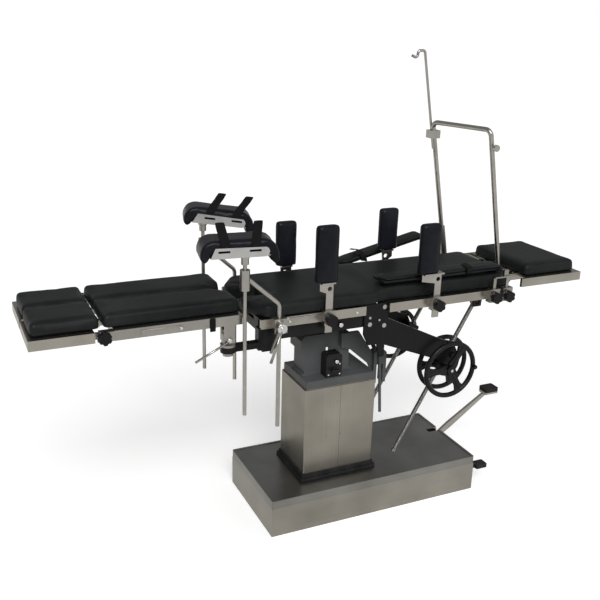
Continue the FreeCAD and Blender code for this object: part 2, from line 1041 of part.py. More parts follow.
# cradle: turns on the shaft, and carries the trunnion of the whole top
trunnion_x = size("trunnion_x")
trunnion_z = size("trunnion_z")
trunnion = size("trunnion_radius")
trunnion_half = size("trunnion_half")
hub_half = (right_a - left_b) / 2 - size("clearance")
hub_deep = size("hub_depth")
hub_low = tilt_z - shaft * 1.3
node(
    cut(
        "cradle_cut",
        fuse(
            "cradle_body",
            [
                box(
                    "cradle_block",
                    (trunnion_x - hub_half, -hub_deep, hub_low),
                    (trunnion_x + hub_half, hub_deep, trunnion_z + trunnion * 1.2),
                ),
                rod(
                    "trunnion_bar",
                    (trunnion_x, -trunnion_half, trunnion_z),
                    trunnion,
                    trunnion_half * 2,
                    "y",
                ),
            ],
        ),
        [rod("cradle_bore", (left_a, 0, tilt_z), shaft + FIT, right_b - left_a, "x")],
    ),
    "tilt_cradle",
)

# foot pedals
pump_rise = size("pump_rise")
pump_reach = size("pump_reach")
pump_pivot = (pump_x, pump_z)
pump_deep = size("pump_bar_height") / 2
lever_side = pump_y - pump_bar / 2
lever = slab(
    "pump_blade",
    "XZ",
    [
        along(pump_pivot, pump_rise, -PIN, pump_deep * 0.7),
        along(pump_pivot, pump_rise, -PIN, -pump_deep * 0.7),
        along(pump_pivot, pump_rise, pump_reach * 0.3, -pump_deep),
        along(pump_pivot, pump_rise, pump_reach, -pump_deep * 0.5),
        along(pump_pivot, pump_rise, pump_reach, pump_deep * 0.5),
        along(pump_pivot, pump_rise, pump_reach * 0.3, pump_deep),
    ],
    lever_side,
    pump_bar,
)
pad_low = along(pump_pivot, pump_rise, pump_reach - pump_bar)
plate_half = size("pump_pad_width") / 2
shelf_z = pad_low[1] + pump_deep
pad_thick = size("pump_pad_thick")
node(
    cut(
        "pump_cut",
        fuse(
            "pump_body",
            [
                lever,
                rod("pump_eye", (pump_x, lever_side, pump_z), PIN * 2, pump_bar, "y"),
                box(
                    "pump_shelf",
                    (pad_low[0] - PIN, pump_y - plate_half + waist / 2, shelf_z - PIN * 2),
                    (
                        pad_low[0] + size("pump_pad_length") - PIN,
                        pump_y + plate_half - waist / 2,
                        shelf_z,
                    ),
                ),
            ],
        ),
        [rod("pump_bore", (pump_x, lever_side, pump_z), PIN + FIT, pump_bar, "y")],
    ),
    "pump_lever",
)
pump_pad_outline = rectangle(
    pad_low[0] - PIN,
    pump_y - plate_half,
    pad_low[0] + size("pump_pad_length") - PIN,
    pump_y + plate_half,
)
node(
    slab(
        "pump_rubber",
        "XY",
        pump_pad_outline,
        shelf_z,
        pad_thick,
        rounds=[(corner, pump_pad_outline)],
    ),
    "pump_pad",
)
release_end = release_x + size("release_reach")
release_half = size("release_pad_width") / 2
release_left = release_end - size("release_pad_length") / 2 - waist
release_outline = rectangle(
    release_left, release_y - release_half, release_end, release_y + release_half
)
node(
    cut(
        "release_cut",
        fuse(
            "release_body",
            [
                box(
                    "release_blade",
                    (release_x, release_y - release_bar / 2, release_z - PIN),
                    (release_end - waist, release_y + release_bar / 2, release_z + PIN),
                ),
                rod(
                    "release_eye",
                    (release_x, release_y - release_bar / 2, release_z),
                    PIN * 2,
                    release_bar,
                    "y",
                ),
                slab(
                    "release_tread",
                    "XY",
                    release_outline,
                    release_z - PIN,
                    PIN * 3,
                    rounds=[(corner, release_outline)],
                ),
            ],
        ),
        [
            rod(
                "release_bore",
                (release_x, release_y - release_bar / 2, release_z),
                PIN + FIT,
                release_bar,
                "y",
            )
        ],
    ),
    "release_pedal",
)

# seat frame
low_top = size("low_rail_top")
high_top = size("high_rail_top")
rail_high = size("rail_high")
rail_out = size("rail_half")
rail_in = rail_out - size("rail_thick")
deck = size("deck_thick")
beam_in = size("beam_half") - size("beam_thick") / 5
beam_out = beam_in + size("beam_thick")
beam_top = size("beam_top")
beam_low = beam_top - size("beam_high")
beam_left = size("beam_left")
beam_right = size("beam_right")
bar = size("frame_bar")
frame_left = size("frame_left")
frame_right = size("frame_right")
bracket_foot = size("bracket_foot")
bracket_top = bracket_foot + size("leg_arm_thick")
leg_x = size("leg_pivot_x")
leg_y = size("leg_pivot_y")
swivel = size("swivel_pin")
block = size("leg_block")
notch = size("notch_half")
notch_end = size("seat_pad_left") + size("notch_deep")
seat_pieces = [
    slab(
        "seat_deck",
        "XY",
        [
            (frame_left, notch + waist),
            (frame_left, beam_out),
            (frame_right, beam_out),
            (frame_right, -beam_out),
            (frame_left, -beam_out),
            (frame_left, -notch - waist),
            (notch_end + waist, -notch - waist),
            (notch_end + waist, notch + waist),
        ],
        low_top - deck,
        deck,
    )
]
nose_x = beam_left + size("beam_nose") / 2
for side, name in SIDES:
    low, high = side_span(side, beam_in, beam_out)
    thick = size("beam_thick")
    seat_pieces.append(
        slab(
            f"{name}_beam",
            "XZ",
            [
                (beam_left, beam_top),
                (beam_left, beam_low - size("beam_high") * 0.9),
                (nose_x, beam_low - size("beam_high") * 0.9),
                (nose_x + bar, beam_low),
                (beam_right, beam_low),
                (beam_right, beam_top),
            ],
            low,
            thick,
        )
    )
    bar_low, bar_high = side_span(side, beam_in, beam_out - waist / 2)
    seat_pieces.append(
        box(
            f"{name}_seat_bar",
            (frame_left, bar_low, beam_top),
            (frame_right, bar_high, low_top - deck),
        )
    )
    lug_low, lug_high = side_span(side, size("lug_half"), size("lug_half") + size("lug_thick"))
    lug_foot = size("lug_foot")
    seat_pieces.append(
        slab(
            f"{name}_trunnion_lug",
            "XZ",
            [
                (size("cross_left"), beam_top),
                (size("cross_left"), beam_low + waist * 1.5),
                (trunnion_x - trunnion * 1.7, lug_foot),
                (trunnion_x + trunnion * 1.7, lug_foot),
                (size("cross_right"), beam_low + waist * 1.5),
                (size("cross_right"), beam_top),
            ],
            lug_low,
            size("lug_thick"),
            holes=[((trunnion_x, trunnion_z), trunnion + FIT)],
        )
    )
    y = leg_y * side
    bracket_low, bracket_high = side_span(side, leg_y - swivel * 1.5, leg_y + swivel)
    seat_pieces.append(
        cut(
            f"{name}_leg_bracket",
            fuse(
                f"{name}_leg_bracket_body",
                [
                    box(
                        f"{name}_leg_bracket_arm",
                        (leg_x, bracket_low, bracket_foot),
                        (beam_left, bracket_high, bracket_top),
                    ),
                    rod(
                        f"{name}_leg_bracket_ring",
                        (leg_x, y, bracket_foot),
                        block,
                        bracket_top - bracket_foot,
                    ),
                    box(
                        f"{name}_leg_bracket_plate",
                        (beam_left - bar, bracket_low, bracket_foot - waist),
                        (beam_left, bracket_high, beam_top + waist),
                    ),
                ],
            ),
            [
                rod(
                    f"{name}_leg_bracket_bore",
                    (leg_x, y, bracket_foot),
                    swivel + FIT,
                    bracket_top - bracket_foot,
                )
            ],
        )
    )
for name, start in (
    ("left", beam_left + waist),
    ("middle", size("cross_left")),
    ("right", size("cross_right") - bar),
):
    seat_pieces.append(
        box(
            f"cross_member_{name}",
            (start, -beam_in, beam_low + waist * 1.5),
            (start + bar, beam_in, beam_top),
        )
    )
    seat_pieces.append(
        box(
            f"cross_riser_{name}",
            (start, -beam_in, beam_top),
            (start + bar, -notch - waist * 2, low_top - deck),
        )
    )
    seat_pieces.append(
        box(
            f"cross_riser_far_{name}",
            (start, notch + waist * 2, beam_top),
            (start + bar, beam_in, low_top - deck),
        )
    )
node(fuse("seat_body", seat_pieces), "seat_frame")


def rail_pair(label, left, right, top, inner_face, posts):
    """The two side rails of a section, with the spacers that hold them off its frame."""
    pieces = []
    for side, name in SIDES:
        low, high = side_span(side, rail_in, rail_out)
        pieces.append(
            box(f"{label}_{name}_rail", (left, low, top - rail_high), (right, high, top))
        )
        low, high = side_span(side, inner_face, rail_in)
        for i, x in enumerate(posts):
            pieces.append(
                rod(
                    f"{label}_{name}_spacer_{i}",
                    (x, low, top - rail_high / 2),
                    size("spacer_radius"),
                    rail_in - inner_face,
                    "y",
                )
            )
    return fuse(f"{label}_set", pieces)


seat_left = size("seat_rail_left")
seat_right = size("seat_rail_right")
seat_span = seat_right - seat_left
node(
    rail_pair(
        "seat_rails",
        seat_left,
        seat_right,
        low_top,
        beam_out - waist / 2,
        [seat_left + seat_span * part for part in (0.07, 0.5, 0.9)],
    ),
    "seat_rails",
)

pad_low_z = low_top + GAP
seat_pad_half = size("seat_pad_half")
pad_left = size("seat_pad_left")
pad_corner = size("seat_pad_corner")
pad_right = size("seat_pad_right")
seat_top = size("seat_pad_top")
seat_pad = slab(
    "seat_foam",
    "XY",
    [
        (pad_left, notch),
        (pad_left, notch * 2),
        (pad_corner, seat_pad_half),
        (pad_right, seat_pad_half),
        (pad_right, -seat_pad_half),
        (pad_corner, -seat_pad_half),
        (pad_left, -notch * 2),
        (pad_left, -notch),
        (notch_end, -notch),
        (notch_end, notch),
    ],
    pad_low_z,
    seat_top - pad_low_z,
    rounds=[
        (bar, [(notch_end, -notch), (notch_end, notch)]),
        (waist * 1.5, [(pad_right, -seat_pad_half), (pad_right, seat_pad_half)]),
    ],
)
node(soften(seat_pad, size("pad_round"), False, "seat_foam_edge"), "seat_cushion")

# back hinge plates, with the back's hinge pins
hinge_x = size("back_hinge_x")
hinge_z = size("back_hinge_z")
hinge_pin = size("hinge_pin")
plates = []
for side, name in SIDES:
    low, high = side_span(side, beam_out, beam_out + size("hinge_plate"))
    left = size("hinge_plate_left")
    right = size("hinge_plate_right")
    top = size("hinge_plate_top")
    foot = size("hinge_plate_foot")
    corners = [(left, top), (right + waist, top)]
    plates.append(
        slab(
            f"{name}_hinge_plate",
            "XZ",
            [
                corners[0],
                corners[1],
                (right + waist, foot + bar * 3),
                (right, foot),
                (right, size("hinge_tail_foot")),
                (right - bar, size("hinge_tail_foot")),
                (right - bar * 1.5, foot),
                (left + bar, foot),
                (left, foot + bar * 2),
            ],
            low,
            size("hinge_plate"),
            rounds=[(waist, corners)],
        )
    )
    pin_low, pin_high = side_span(
        side, size("back_bar_half") - 2, beam_out + size("hinge_plate") + 2
    )
    plates.append(
        rod(f"{name}_hinge_pin", (hinge_x, pin_low, hinge_z), hinge_pin, pin_high - pin_low, "y")
    )
    bolt_low, bolt_high = side_span(
        side, beam_out + size("hinge_plate"), beam_out + size("hinge_plate") + waist / 2
    )
    for i, (x, z, scale) in enumerate(
        (
            (hinge_x - bar, beam_top - bar, 1.0),
            (hinge_x, beam_low, 2.0),
            (left + bar, beam_low + bar / 2, 2.0),
            (left + bar, beam_top - waist, 1.2),
        )
    ):
        plates.append(
            rod(
                f"{name}_hinge_bolt_{i}",
                (x, bolt_low, z),
                size("button_radius") * scale,
                waist / 2,
                "y",
            )
        )
hinge_plates = fuse("hinge_plate_set", plates)

# control arms: reach from the hinge plates to the pivots of the lifting screws' gearboxes
screw_x = size("screw_x")
screw_z = size("screw_z")
arm_in = size("arm_half")
arm_thick = size("arm_thick")
arm_left = frame_right + 2
arm_pieces = []
for side, name in SIDES:
    low, high = side_span(side, arm_in, arm_in + arm_thick)
    tip = (screw_x, screw_z)
    arm_pieces.append(
        slab(
            f"{name}_control_arm",
            "XZ",
            [
                (arm_left, size("arm_root_top")),
                (arm_left, size("arm_root_low")),
                (screw_x - block * 5, screw_z + size("arm_tip_drop")),
                (screw_x - block, screw_z - block),
                (screw_x + block * 0.6, screw_z - block),
                (screw_x + block, screw_z),
                (screw_x, screw_z + size("arm_tip_rise")),
                (screw_x - block * 2, screw_z + size("arm_tip_rise") + waist * 2),
                (right, size("arm_root_top")),
            ],
            low,
            arm_thick,
        )
    )
    pin_low, pin_high = side_span(side, size("screw_y") + size("drive_deep") / 2, arm_in)
    arm_pieces.append(
        rod(f"{name}_trunnion_pin", (screw_x, pin_low, screw_z), hinge_pin, pin_high - pin_low, "y")
    )
    bolt_low, bolt_high = side_span(side, arm_in + arm_thick, arm_in + arm_thick + waist)
    arm_pieces.append(
        rod(
            f"{name}_arm_bolt",
            (screw_x, bolt_low, screw_z),
            hinge_pin * 1.5,
            waist,
            "y",
        )
    )
node(
    group("arms_and_plates", [fuse("control_arm_set", arm_pieces), hinge_plates]), "control_arms"
)

# lifting screws: each passes through a gearbox that turns on the control arm's pivot
lean = size("screw_lean")
upright = 90 - lean
screw_y = size("screw_y")
screw = size("screw_radius")
drive_half = size("drive_deep") / 2
pivot = (screw_x, screw_z)
eye = along(pivot, upright, size("screw_above"))
eye_radius = size("eye_radius")
wheel_x = size("wheel_x")
wheel_z = size("wheel_z")
wheel_shaft = size("wheel_shaft")
rear_x = size("rear_wheel_x")
rear_z = size("rear_wheel_z")
shaft_depth = PIN
for side, name in SIDES:
    low, high = side_span(side, screw_y - drive_half, screw_y + drive_half)
    deep = drive_half * 2
    case = slab(
        f"{name}_drive_case",
        "XZ",
        [
            along(pivot, upright, -block * 2.8, block),
            along(pivot, upright, -block * 2.8, -block),
            along(pivot, upright, block * 0.8, -block),
            along(pivot, upright, block, -block * 0.8),
            along(pivot, upright, block, block * 0.8),
            along(pivot, upright, block * 0.8, block),
        ],
        low,
        deep,
    )
    pieces = [
        case,
        rod(f"{name}_drive_boss", (wheel_x, low, wheel_z), block, deep, "y"),
        rod(f"{name}_rear_boss", (rear_x, low, rear_z), block, deep, "y"),
    ]
    mouth = high - shaft_depth if side == FAR else low
    back_mouth = low if side == FAR else high - shaft_depth
    foot = along(pivot, upright, -size("screw_below"))
    bores = [
        leaning_rod(
            f"{name}_screw_bore",
            (foot[0], screw_y * side, foot[1]),
            screw + FIT,
            size("screw_below") + size("screw_above"),
            lean,
        ),
        rod(f"{name}_shaft_bore", (wheel_x, mouth, wheel_z), wheel_shaft + FIT, shaft_depth, "y"),
    ]
    if side == NEAR:
        bores.append(
            rod(
                "rear_shaft_bore",
                (rear_x, back_mouth, rear_z),
                wheel_shaft + FIT,
                shaft_depth,
                "y",
            )
        )
    node(
        cut(f"{name}_drive_cut", fuse(f"{name}_drive_body", pieces), bores), f"{name}_gearbox"
    )
    eye_low, eye_high = side_span(
        side, screw_y - size("eye_thick") / 2, screw_y + size("eye_thick") / 2
    )
    node(
        cut(
            f"{name}_screw_cut",
            fuse(
                f"{name}_screw_body",
                [
                    leaning_rod(
                        f"{name}_screw_rod",
                        (foot[0], screw_y * side, foot[1]),
                        screw,
                        size("screw_below") + size("screw_above") - eye_radius / 2,
                        lean,
                    ),
                    leaning_rod(
                        f"{name}_screw_stop",
                        (foot[0], screw_y * side, foot[1]),
                        screw * 1.4,
                        screw * 1.5,
                        lean,
                    ),
                    rod(
                        f"{name}_screw_eye",
                        (eye[0], eye_low, eye[1]),
                        eye_radius,
                        size("eye_thick"),
                        "y",
                    ),
                ],
            ),
            [
                rod(
                    f"{name}_eye_bore",
                    (eye[0], eye_low, eye[1]),
                    hinge_pin,
                    size("eye_thick"),
                    "y",
                )
            ],
        ),
        f"{name}_lift_screw",
    )


def handwheel(name, x, y, z, shaft_low, shaft_high, grip=False):
    """A rim on three round spokes, with its hub and shaft."""
    radius = size("wheel_radius")
    rim = size("rim_radius")
    hub = size("wheel_hub")
    pieces = [
        ring(f"{name}_rim", (x, y, z), radius, rim),
        rod(f"{name}_hub", (x, y - hub * 0.7, z), hub, hub * 1.4, "y"),
        rod(f"{name}_shaft", (x, shaft_low, z), wheel_shaft, shaft_high - shaft_low, "y"),
    ]
    for i, angle in enumerate((-90.0, 30.0, 150.0)):
        pieces.append(leaning_rod(f"{name}_spoke_{i}", (x, y, z), rim * 0.9, radius, angle))
    if grip:
        pieces.append(
            rod(f"{name}_grip", (x + radius, y - rim * 2, z), rim * 0.9, rim * 2, "y")
        )
    return fuse(f"{name}_body", pieces)


wheel_y = size("wheel_y")
rear_y = size("rear_wheel_y")
shaft_end = screw_y + drive_half - shaft_depth + GAP
node(
    handwheel("near_handwheel", wheel_x, -wheel_y, wheel_z, -wheel_y, -shaft_end, True),
    "near_handwheel",
)
node(
    handwheel("far_handwheel", wheel_x, wheel_y, wheel_z, shaft_end, wheel_y), "far_handwheel"
)
node(
    handwheel(
        "rear_handwheel",
        rear_x,
        -rear_y,
        rear_z,
        -(screw_y - drive_half + shaft_depth - GAP),
        -rear_y,
    ),
    "inner_handwheel",
)

# back section
bar_in = size("back_bar_half")
bar_thick = size("back_bar_thick")
bar_out = bar_in + bar_thick
back_left = size("back_rail_left")
back_right = size("back_frame_right")
deck_low = low_top - deck
bar_low_z = low_top - rail_high + 2
eye_back = low_top - hinge_z
back_pieces = [
    box("back_deck", (back_left, -bar_out, deck_low), (back_right, bar_out, low_top)),
]
for x in (back_left + bar * 3, size("shelf_x") - size("shelf_half") - bar * 5, back_right - bar):
    back_pieces.append(
        box(
            f"back_cross_{len(back_pieces)}",
            (x, -bar_in, bar_low_z),
            (x + bar, bar_in, deck_low),
        )
    )
shelf_a = size("shelf_x") - size("shelf_half")
shelf_b = size("shelf_x") + size("shelf_half")
back_pieces.append(
    box("back_shelf", (shelf_a, -bar_in, bar_low_z), (shelf_b, bar_in, deck_low))
)
head_x = size("head_hinge_x")
head_z = size("head_hinge_z")
head_pin = size("head_pin")
head_lug = size("head_lug_y")
lug_thick = size("lug_thick")
back_bores = []
for side, name in SIDES:
    low, high = side_span(side, bar_in, bar_out)
    back_pieces.append(
        box(f"{name}_back_bar", (hinge_x, low, bar_low_z), (back_right, high, deck_low))
    )
    back_pieces.append(
        rod(f"{name}_back_eye", (hinge_x, low, hinge_z), eye_back, bar_thick, "y")
    )
    back_bores.append(
        rod(f"{name}_back_bore", (hinge_x, low, hinge_z), hinge_pin + FIT, bar_thick, "y")
    )
    lug_low, lug_high = side_span(
        side, size("lift_lug_y"), size("lift_lug_y") + size("lift_lug_thick")
    )
    back_pieces.append(
        slab(
            f"{name}_lift_lug",
            "XZ",
            [
                (eye[0] - eye_radius * 1.4, deck_low),
                (eye[0] - eye_radius, eye[1] - eye_radius),
                (eye[0] + eye_radius, eye[1] - eye_radius),
                (eye[0] + eye_radius * 1.4, deck_low),
            ],
            lug_low,
            size("lift_lug_thick"),
            holes=[(eye, hinge_pin)],
        )
    )
    low, high = side_span(side, head_lug - lug_thick - 1, head_lug - 1)
    back_pieces.append(
        slab(
            f"{name}_head_bearer",
            "XZ",
            [
                (back_right - bar, bar_low_z),
                (head_x - waist, bar_low_z),
                (head_x + eye_back, head_z - eye_back),
                (head_x + eye_back, head_z + eye_back - 1),
                (head_x - eye_back, head_z + eye_back - 1),
                (head_x - bar - eye_back, deck_low + deck / 2),
                (back_right - bar, deck_low),
            ],
            low,
            lug_thick,
            holes=[((head_x, head_z), head_pin + FIT)],
        )
    )
node(cut("back_cut", fuse("back_body", back_pieces), back_bores), "back_frame")

back_rail_right = size("back_rail_right")
back_span = back_rail_right - back_left
node(
    rail_pair(
        "back_rails",
        back_left,
        back_rail_right,
        low_top,
        bar_out,
        [back_left + back_span * part for part in (0.12, 0.5, 0.8)],
    ),
    "back_rails",
)

back_half = size("back_pad_half")
back_a = size("back_pad_left")
back_b = size("back_pad_right")
back_ends = [(back_b, -back_half), (back_b, back_half)]
back_pad = slab(
    "back_foam",
    "XY",
    [(back_a, back_half), (back_a, -back_half), back_ends[0], back_ends[1]],
    pad_low_z,
    size("back_pad_top") - pad_low_z,
    rounds=[(bar * 1.2, back_ends)],
)
node(soften(back_pad, size("pad_round"), False, "back_foam_edge"), "back_cushion")

# head section
head_right = size("head_rail_right")
head_a = size("head_pad_left")
head_b = size("head_pad_right")
flat_half = size("flat_pad_half")
high_low = high_top - rail_high
brace_low = high_low + deck
end_bar = size("end_bar")
head_pieces = [
    box(
        "head_deck",
        (head_a + PIN, -rail_in, high_top - deck),
        (head_right - end_bar, rail_in, high_top),
    ),
    box("head_end_bar", (head_right - end_bar, -rail_out, high_low), (head_right, rail_out, high_top)),
]
for x in (head_a + bar * 2, head_b - bar * 3):
    head_pieces.append(
        box(
            f"head_cross_{len(head_pieces)}",
            (x, -rail_in, brace_low),
            (x + bar, rail_in, high_top - deck),
        )
    )
for side, name in SIDES:
    low, high = side_span(side, rail_in, rail_out)
    head_pieces.append(
        box(
            f"{name}_head_rail",
            (head_x - eye_back, low, high_low),
            (head_right - end_bar, high, high_top),
        )
    )
    low, high = side_span(side, head_lug, head_lug + lug_thick)
    head_pieces.append(
        box(
            f"{name}_head_lug",
            (head_x - eye_back, low, head_z - eye_back),
            (head_a + bar * 2, high, high_top - deck),
        )
    )
    low, high = side_span(side, head_lug - lug_thick - 3, head_lug)
    head_pieces.append(
        rod(f"{name}_head_pin", (head_x, low, head_z), head_pin, lug_thick + 3, "y")
    )
node(fuse("head_body", head_pieces), "head_frame")
high_pad_z = high_top + GAP
flat_top = size("flat_pad_top")
head_outline = rectangle(head_a, -flat_half, head_b, flat_half)
head_pad = slab(
    "head_foam",
    "XY",
    head_outline,
    high_pad_z,
    flat_top - high_pad_z,
    rounds=[(bar, head_outline)],
)
node(soften(head_pad, size("pad_round"), False, "head_foam_edge"), "head_cushion")

# leg and foot sections, one pair on each side
leg_z = size("leg_hinge_z")
leg_pin = size("leg_pin")
leg_a = size("leg_rail_left")
leg_b = size("leg_rail_right")
foot_x = size("foot_hinge_x")
foot_z = high_top - rail_high / 2
split = size("pad_split") / 2
arm_top = size("leg_arm_top")
knuckle = swivel
ear = swivel * 1.5
ear_half = ear * 0.95
small_pin = size("pivot_radius")
for side, name in SIDES:
    y = leg_y * side
    block_low, block_high = side_span(side, leg_y - knuckle, leg_y + knuckle)
    pin_low, pin_high = side_span(side, leg_y - block - 2, rail_out)
    node(
        fuse(
            f"{name}_swivel_body",
            [
                rod(
                    f"{name}_swivel_pin",
                    (leg_x, y, bracket_foot - waist / 2),
                    swivel,
                    arm_top + 1 - bracket_foot + waist / 2,
                ),
                rod(
                    f"{name}_swivel_cap",
                    (leg_x, y, bracket_foot - waist * 1.5),
                    swivel * 1.4,
                    waist * 1.5 - GAP,
                ),
                rod(f"{name}_swivel_seat", (leg_x, y, arm_top + GAP), block, waist),
                box(
                    f"{name}_knuckle",
                    (leg_x - ear, block_low, arm_top + GAP),
                    (leg_x + ear, block_high, leg_z),
                ),
                rod(f"{name}_knuckle_eye", (leg_x, block_low, leg_z), ear, knuckle * 2, "y"),
                rod(f"{name}_leg_pin", (leg_x, pin_low, leg_z), leg_pin, pin_high - pin_low, "y"),
            ],
        ),
        f"{name}_leg_swivel",
    )
    inner_low, inner_high = side_span(side, leg_y - block, leg_y - knuckle - 1)
    outer_low, outer_high = side_span(side, leg_y + knuckle + 1, rail_out)
    rail_low, rail_high_y = side_span(side, rail_in, rail_out)
    deck_side, deck_edge = side_span(side, split * 4, rail_in)
    leg_pieces = [
        box(f"{name}_leg_rail", (leg_a, rail_low, high_low), (leg_b, rail_high_y, high_top)),
        box(f"{name}_leg_deck", (leg_a, deck_side, high_top - deck), (leg_b, deck_edge, high_top)),
        box(
            f"{name}_leg_inner_ear",
            (leg_x - ear_half, inner_low, leg_z - ear),
            (leg_x + ear_half, inner_high, high_top - deck),
        ),
        box(
            f"{name}_leg_outer_ear",
            (leg_x - ear_half, outer_low, leg_z - ear),
            (leg_x + ear_half, outer_high, high_low),
        ),
    ]
    for i, x in enumerate((leg_a, (leg_a + leg_b) / 2, leg_x - ear_half - bar)):
        leg_pieces.append(
            box(
                f"{name}_leg_cross_{i}",
                (x, deck_side, brace_low),
                (x + bar, deck_edge, high_top - deck),
            )
        )
    leg_bores = [
        rod(
            f"{name}_leg_bore",
            (leg_x, min(inner_low, outer_low, key=number), leg_z),
            leg_pin + FIT,
            rail_out - leg_y + block,
            "y",
        )
    ]
    lock_low, lock_high = side_span(side, rail_out - size("rail_thick"), rail_out + 1)
    lock_reach = foot_x - size("foot_rail_right") - size("lock_clear")
    leg_pieces.append(
        box(
            f"{name}_foot_lock",
            (foot_x - lock_reach, lock_low, high_low + 1),
            (leg_a + 1, lock_high, high_top - 1),
        )
    )
    leg_pieces.append(
        star_knob(f"{name}_foot_knob", foot_x, foot_z, (rail_out + 1) * side, side)
    )
    foot_pieces = []
    for i, reach in enumerate((block * 2, block * 6)):
        low, high = side_span(side, reach, reach + lug_thick)
        leg_pieces.append(
            box(
                f"{name}_foot_lug_{i}",
                (foot_x - end_bar, low, foot_z - end_bar),
                (leg_a, high, foot_z + end_bar),
            )
        )
        leg_bores.append(
            rod(
                f"{name}_foot_bore_{i}",
                (foot_x, low, foot_z),
                small_pin + FIT,
                lug_thick,
                "y",
            )
        )
        low, high = side_span(side, reach + lug_thick + 1, reach + lug_thick * 2)
        foot_pieces.append(
            box(
                f"{name}_foot_ear_{i}",
                (size("foot_rail_right"), low, foot_z - end_bar),
                (foot_x + end_bar, high, foot_z + end_bar),
            )
        )
        low, high = side_span(side, reach - 2, reach + lug_thick + 2)
        foot_pieces.append(
            rod(f"{name}_foot_pin_{i}", (foot_x, low, foot_z), small_pin, high - low, "y")
        )
    node(
        cut(f"{name}_leg_cut", fuse(f"{name}_leg_body", leg_pieces), leg_bores),
        f"{name}_leg_frame",
    )
    leg_pad_a = size("leg_pad_left")
    leg_pad_b = size("leg_pad_right")
    slope = block * 1.8
    leg_outline = [
        (leg_pad_a, split * side),
        (leg_pad_a, flat_half * side),
        (leg_pad_b, flat_half * side),
        (leg_pad_b, (split + slope) * side),
        (leg_pad_b - slope, split * side),
    ]
    leg_pad = slab(
        f"{name}_leg_foam",
        "XY",
        leg_outline,
        high_pad_z,
        flat_top - high_pad_z,
        rounds=[(bar, [leg_outline[2]]), (waist, leg_outline[:2])],
    )
    node(
        soften(leg_pad, size("pad_round"), False, f"{name}_leg_foam_edge"),
        f"{name}_leg_cushion",
    )
    foot_a = size("foot_rail_left")
    foot_b = size("foot_rail_right")
    foot_pieces += [
        box(
            f"{name}_foot_rail",
            (foot_a + end_bar, rail_low, high_low),
            (foot_b, rail_high_y, high_top),
        ),
        box(
            f"{name}_foot_deck",
            (foot_a + end_bar, deck_side, high_top - deck),
            (foot_b, deck_edge, high_top),
        ),
        box(
            f"{name}_foot_brace",
            (foot_b - bar, deck_side, brace_low),
            (foot_b, deck_edge, high_top - deck),
        ),
    ]
    low, high = side_span(side, split * 4, rail_out)
    foot_pieces.append(
        box(f"{name}_foot_end", (foot_a, low, high_low), (foot_a + end_bar, high, high_top))
    )
    node(fuse(f"{name}_foot_body", foot_pieces), f"{name}_foot_frame")
    foot_pad_a = size("foot_pad_left")
    foot_pad_b = size("foot_pad_right")
    foot_outline = [
        (foot_pad_a, split * side),
        (foot_pad_a, flat_half * side),
        (foot_pad_b, flat_half * side),
        (foot_pad_b, split * side),
    ]
    foot_pad = slab(
        f"{name}_foot_foam",
        "XY",
        foot_outline,
        high_pad_z,
        flat_top - high_pad_z,
        rounds=[(waist, foot_outline)],
    )
    node(
        soften(foot_pad, size("pad_round"), False, f"{name}_foot_foam_edge"),
        f"{name}_foot_cushion",
    )

# rail clamps: a block on the rail's outer face, hooked over and under it, with a hand knob
clamp_deep = size("clamp_deep")
clamp_half = size("clamp_wide") / 2
clamp_high = size("clamp_high")
lip = size("lip")
rail_mid = low_top - rail_high / 2
post_y = size("post_y")
post_thick = size("post_thick")
post_half = size("post_wide") / 2
post_clear = size("post_clear")
knob_z = rail_mid - lip


def clamp_block(name, side, x, half, deep):
    """The block and its two hooks, without the hole for a post."""
    low, high = side_span(side, rail_out, rail_out + deep)
    lip_low, lip_high = side_span(side, rail_out - lip, rail_out + lip)
    top = rail_mid + clamp_high / 2
    foot = rail_mid - clamp_high / 2
    return fuse(
        f"{name}_hooks",
        [
            box(f"{name}_block", (x - half, low, foot), (x + half, high, top)),
            box(f"{name}_top_hook", (x - half, lip_low, low_top + GAP), (x + half, lip_high, top)),
            box(
                f"{name}_low_hook",
                (x - half, lip_low, foot),
                (x + half, lip_high, low_top - rail_high - GAP),
            ),
        ],
    )


def knob_face(side, deep):
    return rail_out * side + deep * side


def post_clamp(name, side, x):
    """A clamp with a slot for a flat post, and its star knob."""
    low, high = side_span(
        side, post_y - post_thick / 2 - post_clear, post_y + post_thick / 2 + post_clear
    )
    reach = post_half + post_clear
    block_cut = cut(
        f"{name}_slotted",
        clamp_block(name, side, x, clamp_half, clamp_deep),
        [
            box(
                f"{name}_slot",
                (x - reach, low, rail_mid - clamp_high),
                (x + reach, high, rail_mid + clamp_high),
            )
        ],
    )
    knob = star_knob(f"{name}_knob", x, knob_z, knob_face(side, clamp_deep), side)
    return fuse(f"{name}_clamp", [block_cut, knob])


SUPPORTS = (("near_seat", NEAR), ("far_seat", FAR), ("near_back", NEAR), ("far_back", FAR))
clamps = {
    name: post_clamp(f"{name}_support", side, size(f"{name}_post")) for name, side in SUPPORTS
}

